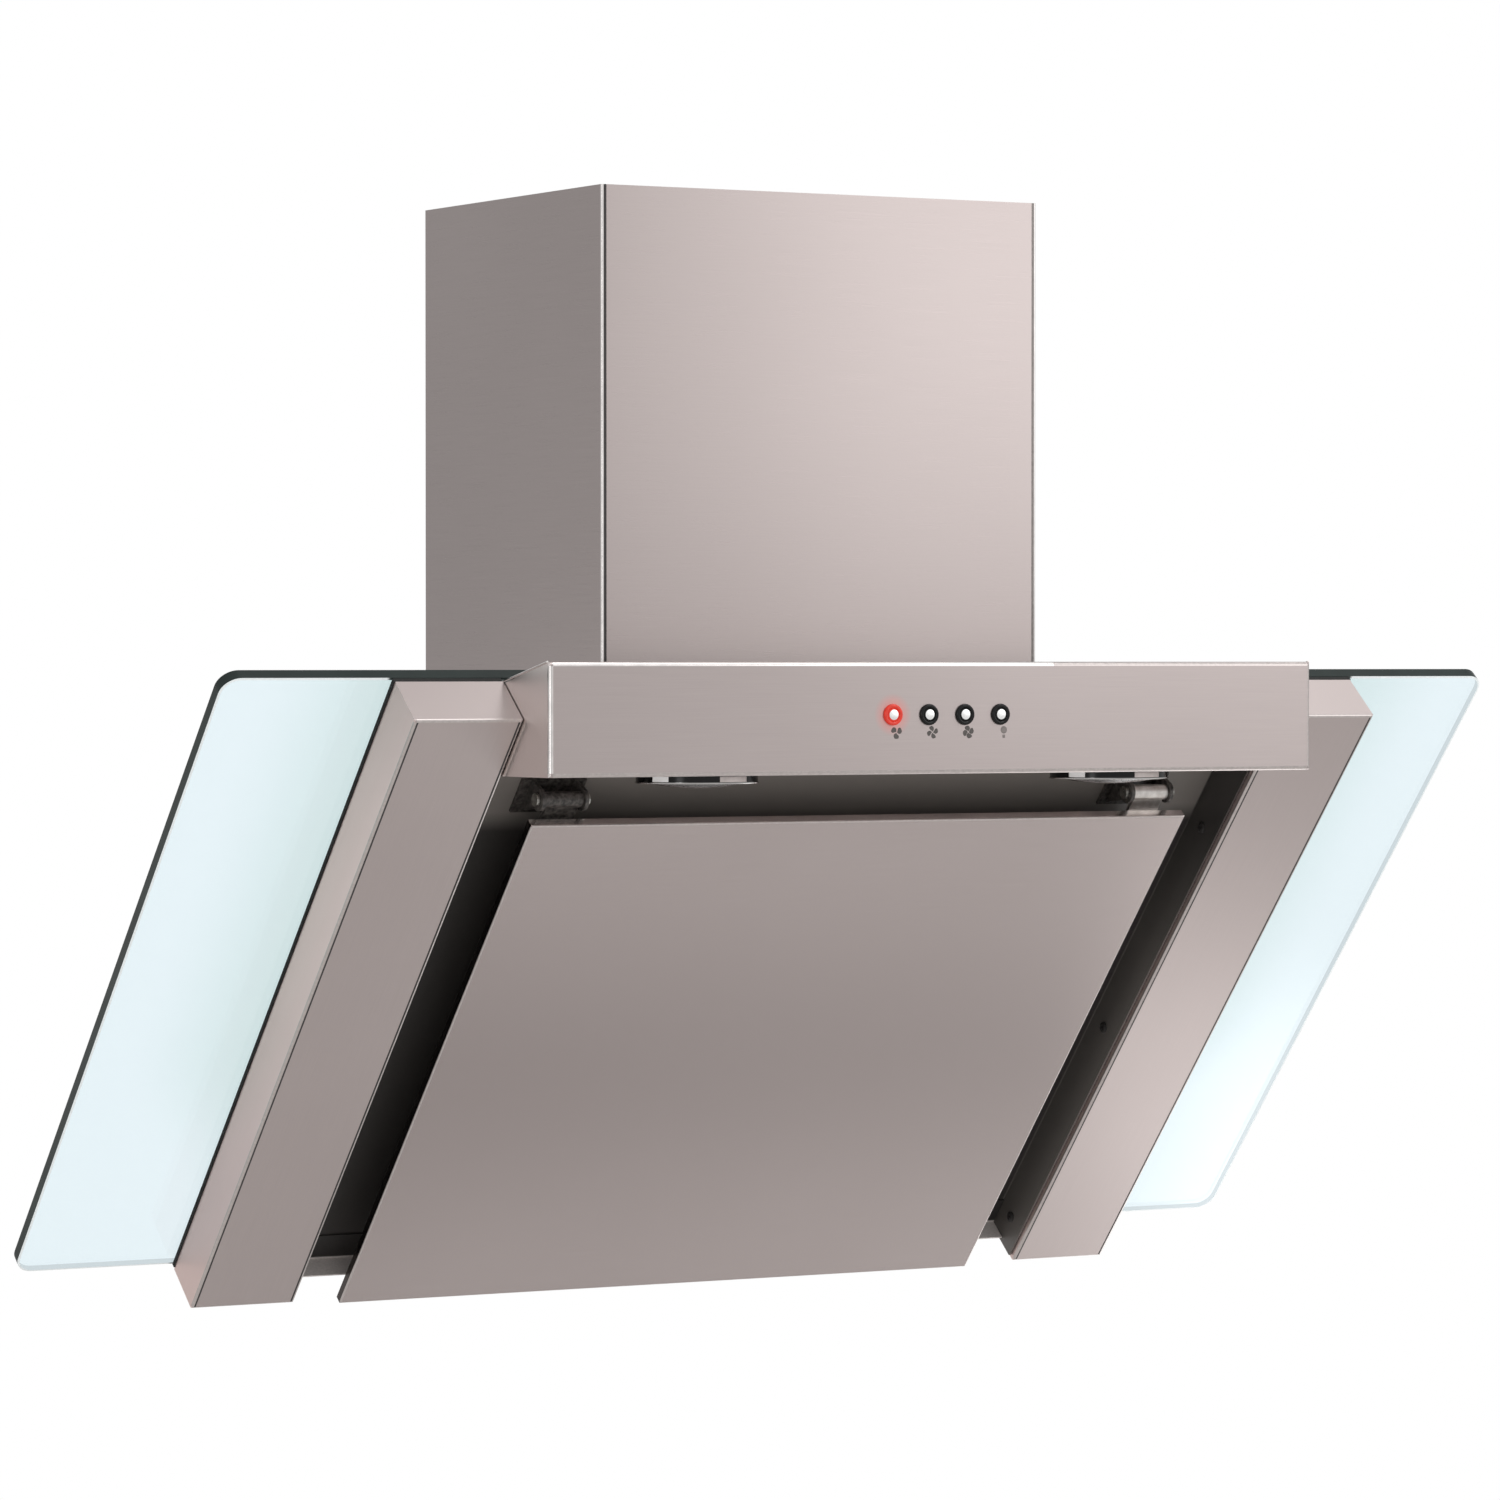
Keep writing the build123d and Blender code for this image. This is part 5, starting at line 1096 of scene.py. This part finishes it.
class HOOD_OT_lamp_units(bpy.types.Operator):
    """Lamp rims with a black collar, a white clip and a steel plate, which paint the dark reflection and the
    glints of the chrome wall, and pressed lenses.
    """

    bl_idname = "hood.lamp_units"
    bl_label = "Lamp units"

    def execute(self, context):
        sizes = context.scene.hood_sizes
        # Painted reflection: gloss black collar where the chrome wall shows the dark recess
        black = gloss_black("lamp_collar_painted_reflection")
        # Satin chrome: grey, soft mirror
        chrome = metal("satin_chrome", "#9C9A98", "#B4B2B0", 15, (0.12, 0.2), 0.002)
        # Painted glint of the chrome wall, as a white clip: white, soft gloss
        painted_glint = coated("white_clip_painted_glint", "#F4F3F1", "#FFFFFF", 3, (0.3, 0.4), 0.005)
        # Painted reflection on the chrome wall, as a satin steel plate: pale warm grey, dull
        steel = metal("plate_painted_reflection", "#AFA6A3", "#C2B9B6", 3, (0.4, 0.5), 0.005)
        glass = pressed_lamp_glass()
        # Degrees about the lamp, from the right; minus ninety is the front
        glint_arc, grey_reflection_arc = (-164, -146), (-97, -66)
        for side in SIDES:
            low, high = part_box(f"{side}_lamp_trim")
            place = np.array(((low.x + high.x) / 2, (low.y + high.y) / 2, high.z))
            rim = (high.x - low.x) / 2
            tall = high.z - low.z
            low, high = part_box(f"{side}_lamp_lens")
            eye = (high.x - low.x) / 2
            patches = [self.rim(place, eye, rim, tall), self.collar(place, eye, rim, tall),
                       self.clip(place, rim, tall, *glint_arc), self.clip(place, rim, tall, *grey_reflection_arc)]
            piece(f"{side}_lamp_rim", patches, [chrome, black, painted_glint, steel], "hood", "lamp_chrome",
                  f"{side}_lamp_trim")
            lens = self.lens(place, eye, place[2] - high.z, tall, place[2] - low.z, sizes.lens_ring)
            piece(f"{side}_lamp_glass", [lens], [glass], "hood", "lamp_glass", f"{side}_lamp_lens")
        return {"FINISHED"}

    def rim(self, place, eye, rim, tall):
        """Chrome rim turned about the lamp: an inner step, a flat face and a rounded outer edge."""
        angle = np.linspace(0, pi / 2, 9)
        bend, thick, gap = 0.9 * MM, 1.0 * MM, 0.1 * MM
        outer = np.stack((rim - bend + bend * np.cos(angle), tall - bend + bend * np.sin(angle)), 1)
        loop = np.vstack(([(eye + gap, tall - thick), (rim, tall - thick)], outer,
                          [(eye + 0.6 * MM, tall), (eye + gap, tall - 0.5 * MM)]))
        return ring(loop, place, -UP)

    def collar(self, place, eye, rim, tall):
        """Collar between the rim and the fascia, black as a painted reflection: a flat loop, turned about the
        lamp.
        """
        foot = tall - 0.9 * MM
        inner, outer = eye + 0.1 * MM, rim - 0.7 * MM
        return ring([(inner, 0), (outer, 0), (outer, foot), (inner, foot)], place, -UP)

    def clip(self, place, rim, tall, first, last):
        """Clip: a short curved plate on the collar, which carries painted light, its section carried along an
        arc between two angles.
        """
        angle = np.radians(np.linspace(first, last, 9))
        spoke = np.cos(angle)[:, None] * ACROSS - np.sin(angle)[:, None] * FORWARD
        inner, outer = rim - 0.9 * MM, rim - 0.2 * MM
        high, deep = 0.4 * MM, tall - 1.3 * MM
        section = [outer * spoke - high * UP, outer * spoke - deep * UP, inner * spoke - deep * UP,
                   inner * spoke - high * UP]
        return bar(place + np.stack(section, 1))

    def lens(self, place, eye, top, rim, foot, pitch):
        """Lens: a shallow dome with pressed rings outside, a flat face inside, turned about the lamp."""
        press = 0.15 * MM
        radius = np.linspace(0, eye, 73)
        share = radius / eye
        dome = rim + (foot - rim) * (1 - share**2) - press * (1 - np.cos(tau * radius / pitch))
        outside = np.stack((radius, dome), 1)
        return spun(np.vstack((outside, [(eye, top), (0, top)])), place, -UP, 64)


class HOOD_OT_grease_mesh(bpy.types.Operator):
    """Expanded aluminium mesh of the grease filter, in two layers."""

    bl_idname = "hood.grease_mesh"
    bl_label = "Grease mesh"

    def execute(self, context):
        sizes = context.scene.hood_sizes
        tone = context.scene.hood_finishes.aluminium
        # Slit and stretched aluminium foil: pale silver strands, soft gloss
        foil = metal("expanded_aluminium", shade(tone, 0.8), tone, 4, (0.3, 0.42), 0.01)
        low, high = pane_box(cad_points("filter_mesh"))
        # Share of the block's depth, and slip down the slope in diamonds
        layers = [self.layer(low, high, low[2] + share * (high[2] - low[2]), slip, sizes)
                  for share, slip in ((0.25, 0.0), (0.78, 0.125))]
        piece("grease_mesh", layers, [foil], "hood", "filter_aluminium", "filter_mesh")
        return {"FINISHED"}

    def layer(self, low, high, depth, slip, sizes):
        """One layer: strands zigzag down the slope, each the mirror of its neighbours, and meet in diamonds.

        A strand's four edges are half its width to each side and in depth; each end runs to a point.
        """
        lap, flat = 0.9, 0.8
        strands = int((high[0] - low[0]) / sizes.mesh_spacing)
        turns = int(2 * (high[1] - low[1]) / sizes.mesh_diamond)
        spacing = (high[0] - low[0]) / strands
        side = np.where(np.arange(strands) % 2, 1.0, -1.0)
        swing = np.where(np.arange(turns + 1) % 2, 0.5, -0.5) * (spacing - lap * sizes.mesh_strand)
        x = low[0] + spacing * (np.arange(strands) + 0.5)[:, None] + side[:, None] * swing
        v = np.minimum(np.linspace(low[1], high[1], turns + 1) + slip * sizes.mesh_diamond, high[1])
        half = 0.5 * sizes.mesh_strand
        thick = np.concatenate(((0.0,), np.ones(turns - 1), (0.0,)))[:, None]
        edge_x = thick * np.array((-1, 0, 1, 0)) * half
        edge_n = thick * np.array((0, 1, 0, -1)) * half * flat
        grid = on_pane(x[..., None] + edge_x, v[:, None], depth + edge_n)
        return joined([lattice(strand, close_v=True) for strand in grid])


class HOOD_OT_fasteners(bpy.types.Operator):
    """Cross-recessed screws of pillars and chimney, socket bolts and nuts of the glass."""

    bl_idname = "hood.fasteners"
    bl_label = "Fasteners"

    def execute(self, context):
        sizes = context.scene.hood_sizes
        enamel = context.scene.hood_finishes.enamel
        steel = plated_steel("zinc_plated_screws")
        # Screws enamelled with the tray: dark, dull, hard to see on its walls
        painted = coated("enamelled_screws", shade(enamel, 0.5), shade(enamel, 0.7), 2, (0.5, 0.6), 0.01)
        # The pillars' screws have their heads inwards, the chimney's outwards
        for node, outwards, finish in (("pillar_screws", -1, painted), ("flue_screws", 1, steel)):
            patches = []
            for points in separate_solids(node):
                low, high = points.min(axis=0), points.max(axis=0)
                way = outwards * np.sign(low[0] + high[0])
                tip = high[0] if way > 0 else low[0]
                place = np.array((tip, (low[1] + high[1]) / 2, (low[2] + high[2]) / 2))
                head, long = (high[1] - low[1]) / 2, high[0] - low[0]
                patches.append(self.screw(place, way * ACROSS, head, long, sizes))
            piece(f"{node}_turned", patches, [finish], "hood", "fastener_steel", node)
        patches = []
        for points in separate_solids("glass_bolts"):
            low, high = pane_box(points)
            place = on_pane((low[0] + high[0]) / 2, (low[1] + high[1]) / 2, high[2])
            if high[2] > 0:
                patches.append(self.bolt(place, (high[0] - low[0]) / 2, high[2] - low[2], sizes))
            else:
                patches.append(self.nut(place, high[2] - low[2]))
        piece("glass_bolts_turned", patches, [steel], "hood", "fastener_steel", "glass_bolts")
        return {"FINISHED"}

    def threaded(self, radius, start, end, pitch, steps):
        """Rows of a threaded shank: the radius waves with height and angle, one turn for each pitch."""
        depth = 0.12 * pitch
        height = np.linspace(start, end, max(8, int(4 * abs(end - start) / pitch)))
        angle = np.linspace(0, tau, steps, endpoint=False)
        wave = np.cos(tau * height[:, None] / pitch + angle)
        return radius - depth * (1 - wave), np.repeat(height[:, None], steps, 1)

    def headed(self, place, axis, head, recess, deep, tall, shank, long, pitch, steps=48):
        """Screw turned about its axis: a domed head, sunk where the recess says, over a threaded shank."""
        dome, runout = 0.4 * tall, 0.4 * MM
        share = np.array((0, 0.12, 0.2, 0.28, 0.36, 0.44, 0.52, 0.6, 0.7, 0.85, 0.95, 1.0))
        angle = np.linspace(0, tau, steps, endpoint=False)
        radius = np.repeat((share * head)[:, None], steps, 1)
        height = -dome * (share**4)[:, None] - deep * recess(radius, angle)
        thread_radius, thread_height = self.threaded(shank, -tall, -long + runout, pitch, steps)
        ones = np.ones((1, steps))
        radius = np.vstack((radius, head * ones, shank * ones, thread_radius, 0.5 * shank * ones, 0 * ones))
        height = np.vstack((height, -tall * ones, -tall * ones, thread_height, -long * ones, -long * ones))
        return lattice(turned(radius, height, place, axis, steps), close_v=True)

    def screw(self, place, axis, head, long, sizes):
        """Pan-head screw with a cross recess: deep where the nearer arm's middle line is close."""
        half_arm, arm_end = 0.12 * head, 0.58 * head
        deep, tall, shank = 1.0 * MM, 2.0 * MM, 1.9 * MM

        def cross(radius, angle):
            arm = np.minimum(np.abs(radius * np.sin(angle)), np.abs(radius * np.cos(angle)))
            return ((arm < half_arm) & (radius < arm_end)).astype(float)

        return self.headed(place, axis, head, cross, deep, tall, shank, long, sizes.thread)

    def bolt(self, place, head, long, sizes):
        """Button-head bolt with a hexagonal socket: deep where a point lies inside the nearest flat."""
        half_key = 0.42 * head
        deep, tall, shank = 1.6 * MM, 3.0 * MM, 2.45 * MM

        def socket(radius, angle):
            flat = radius * np.cos((angle + pi / 6) % (pi / 3) - pi / 6)
            return (flat < half_key).astype(float)

        return self.headed(place, OUT, head, socket, deep, tall, shank, long, sizes.thread)

    def nut(self, place, tall):
        """Hexagon nut: its radius is half its width over the cosine of the angle to the nearest flat."""
        half_width, thread, rim, bevel = 4.0 * MM, 2.5 * MM, 4.25 * MM, 0.35 * MM
        steps = 48
        angle = np.linspace(0, tau, steps, endpoint=False)
        six = half_width / np.cos((angle + pi / 6) % (pi / 3) - pi / 6)
        bore = np.full(steps, thread)
        chamfer = np.minimum(six, rim)
        radius = np.stack((bore, chamfer, six, six, chamfer, bore))
        height = np.array((0, 0, -bevel, bevel - tall, -tall, -tall))
        return lattice(turned(radius, height, place, OUT, steps), close_u=True, close_v=True)


class HOOD_OT_inner_parts(bpy.types.Operator):
    """Finishes of the tray, hinges, filter frame and what is inside."""

    bl_idname = "hood.inner_parts"
    bl_label = "Inner parts"

    def execute(self, context):
        finishes = context.scene.hood_finishes
        dress(tray_enamel(), "base_tray")
        dress(galvanised_sheet(), "air_box", "wall_bracket", "flue_bracket", "panel_strikes")
        dress(plated_steel("zinc_plated_pins"), "hinge_pins", "damper_spindle", "motor_shaft")
        dress(circuit_board(), "control_board")
        # Foam rubber: near black, no gloss, finely pitted
        rubber = coated("foam_rubber", shade(finishes.rubber, 0.7), finishes.rubber, 0.8, (0.7, 0.85), 0.05)
        dress(rubber, "canopy_gasket", "tray_gasket", "left_pillar_gasket", "right_pillar_gasket",
              "cable_grommet")
        # ABS from a spark-eroded mould: black, satin, finely grained
        plastic = coated("moulded_abs", shade(finishes.plastic, 0.75), finishes.plastic, 0.6, (0.42, 0.55),
                         0.03)
        dress(plastic, "switch_housing", "terminal_box", "terminal_cover", "impeller", "scroll_casing",
              "scroll_cover", "panel_catches", "board_components", "outlet_collar", "front_damper_flap",
              "rear_damper_flap")
        # Phosphated steel: blotched black and grey, oily gloss
        phosphated = coated("phosphated_hinge_steel", "#1A1715", "#5B5652", 2.5, (0.35, 0.5), 0.1)
        dress(phosphated, "left_hinge_bracket", "right_hinge_bracket", "left_hinge_leaf")
        # Pale satin plated steel on the right leaf only, where the left leaf is dark: painted light
        plated = metal("right_leaf_painted_light", "#C6C1BC", "#EFECE8", 6, (0.4, 0.5), 0.01)
        dress(plated, "right_hinge_leaf")
        # Mill-finish aluminium: silver, soft gloss
        bright = metal("bright_aluminium", shade(finishes.aluminium, 0.85), finishes.aluminium, 3,
                       (0.25, 0.38), 0.01)
        dress(bright, "filter_frame", "filter_latch", "capacitor")
        # Die-cast aluminium: grey, dull, pebbled
        cast = metal("die_cast_motor", "#85888A", "#A6A9AB", 2, (0.42, 0.58), 0.05)
        dress(cast, "blower_motor")
        # Chrome plate: bright, mirror-like, a trace of waviness
        chrome = metal("lamp_reflector", "#D5D6D8", "#ECEDEF", 15, (0.05, 0.1), 0.002)
        dress(chrome, "left_lamp_cup", "right_lamp_cup")
        # Phosphor in silicone: pale yellow, soft gloss
        phosphor = coated("led_phosphor", "#EFE6B8", "#F8F2DC", 4, (0.4, 0.5), 0.1)
        dress(phosphor, "left_lamp_emitter", "right_lamp_emitter")
        return {"FINISHED"}


OPERATORS = (
    HOOD_OT_stage,
    HOOD_OT_sheet_steel,
    HOOD_OT_bright_folds,
    HOOD_OT_sheet_seams,
    HOOD_OT_glass_pane,
    HOOD_OT_push_buttons,
    HOOD_OT_button_marks,
    HOOD_OT_lamp_units,
    HOOD_OT_grease_mesh,
    HOOD_OT_fasteners,
    HOOD_OT_inner_parts,
)


class HOOD_PT_panel(bpy.types.Panel):
    """The hood's pieces and settings in the sidebar."""

    bl_idname = "HOOD_PT_panel"
    bl_label = "Range Hood"
    bl_space_type = "VIEW_3D"
    bl_region_type = "UI"
    bl_category = "Range Hood"

    def draw(self, context):
        for operator in OPERATORS:
            self.layout.operator(operator.bl_idname)
        for group in (context.scene.hood_sizes, context.scene.hood_finishes, context.scene.hood_stage):
            for name in group.__annotations__:
                self.layout.prop(group, name)


GROUPS = {"hood_sizes": HoodSizes, "hood_finishes": HoodFinishes, "hood_stage": HoodStage}
CLASSES = (*GROUPS.values(), *OPERATORS, HOOD_PT_panel)


def register():
    """Registers the classes and puts the settings on the scene."""
    for group in CLASSES:
        bpy.utils.register_class(group)
    for name, group in GROUPS.items():
        setattr(bpy.types.Scene, name, PointerProperty(type=group))


def unregister():
    """Takes the settings off the scene and unregisters the classes."""
    for name in GROUPS:
        delattr(bpy.types.Scene, name)
    for group in reversed(CLASSES):
        bpy.utils.unregister_class(group)


def main():
    """Makes the stage and every piece."""
    register()
    for operator in OPERATORS:
        family, name = operator.bl_idname.split(".")
        getattr(getattr(bpy.ops, family), name)()


if __name__ == "__main__":
    main()
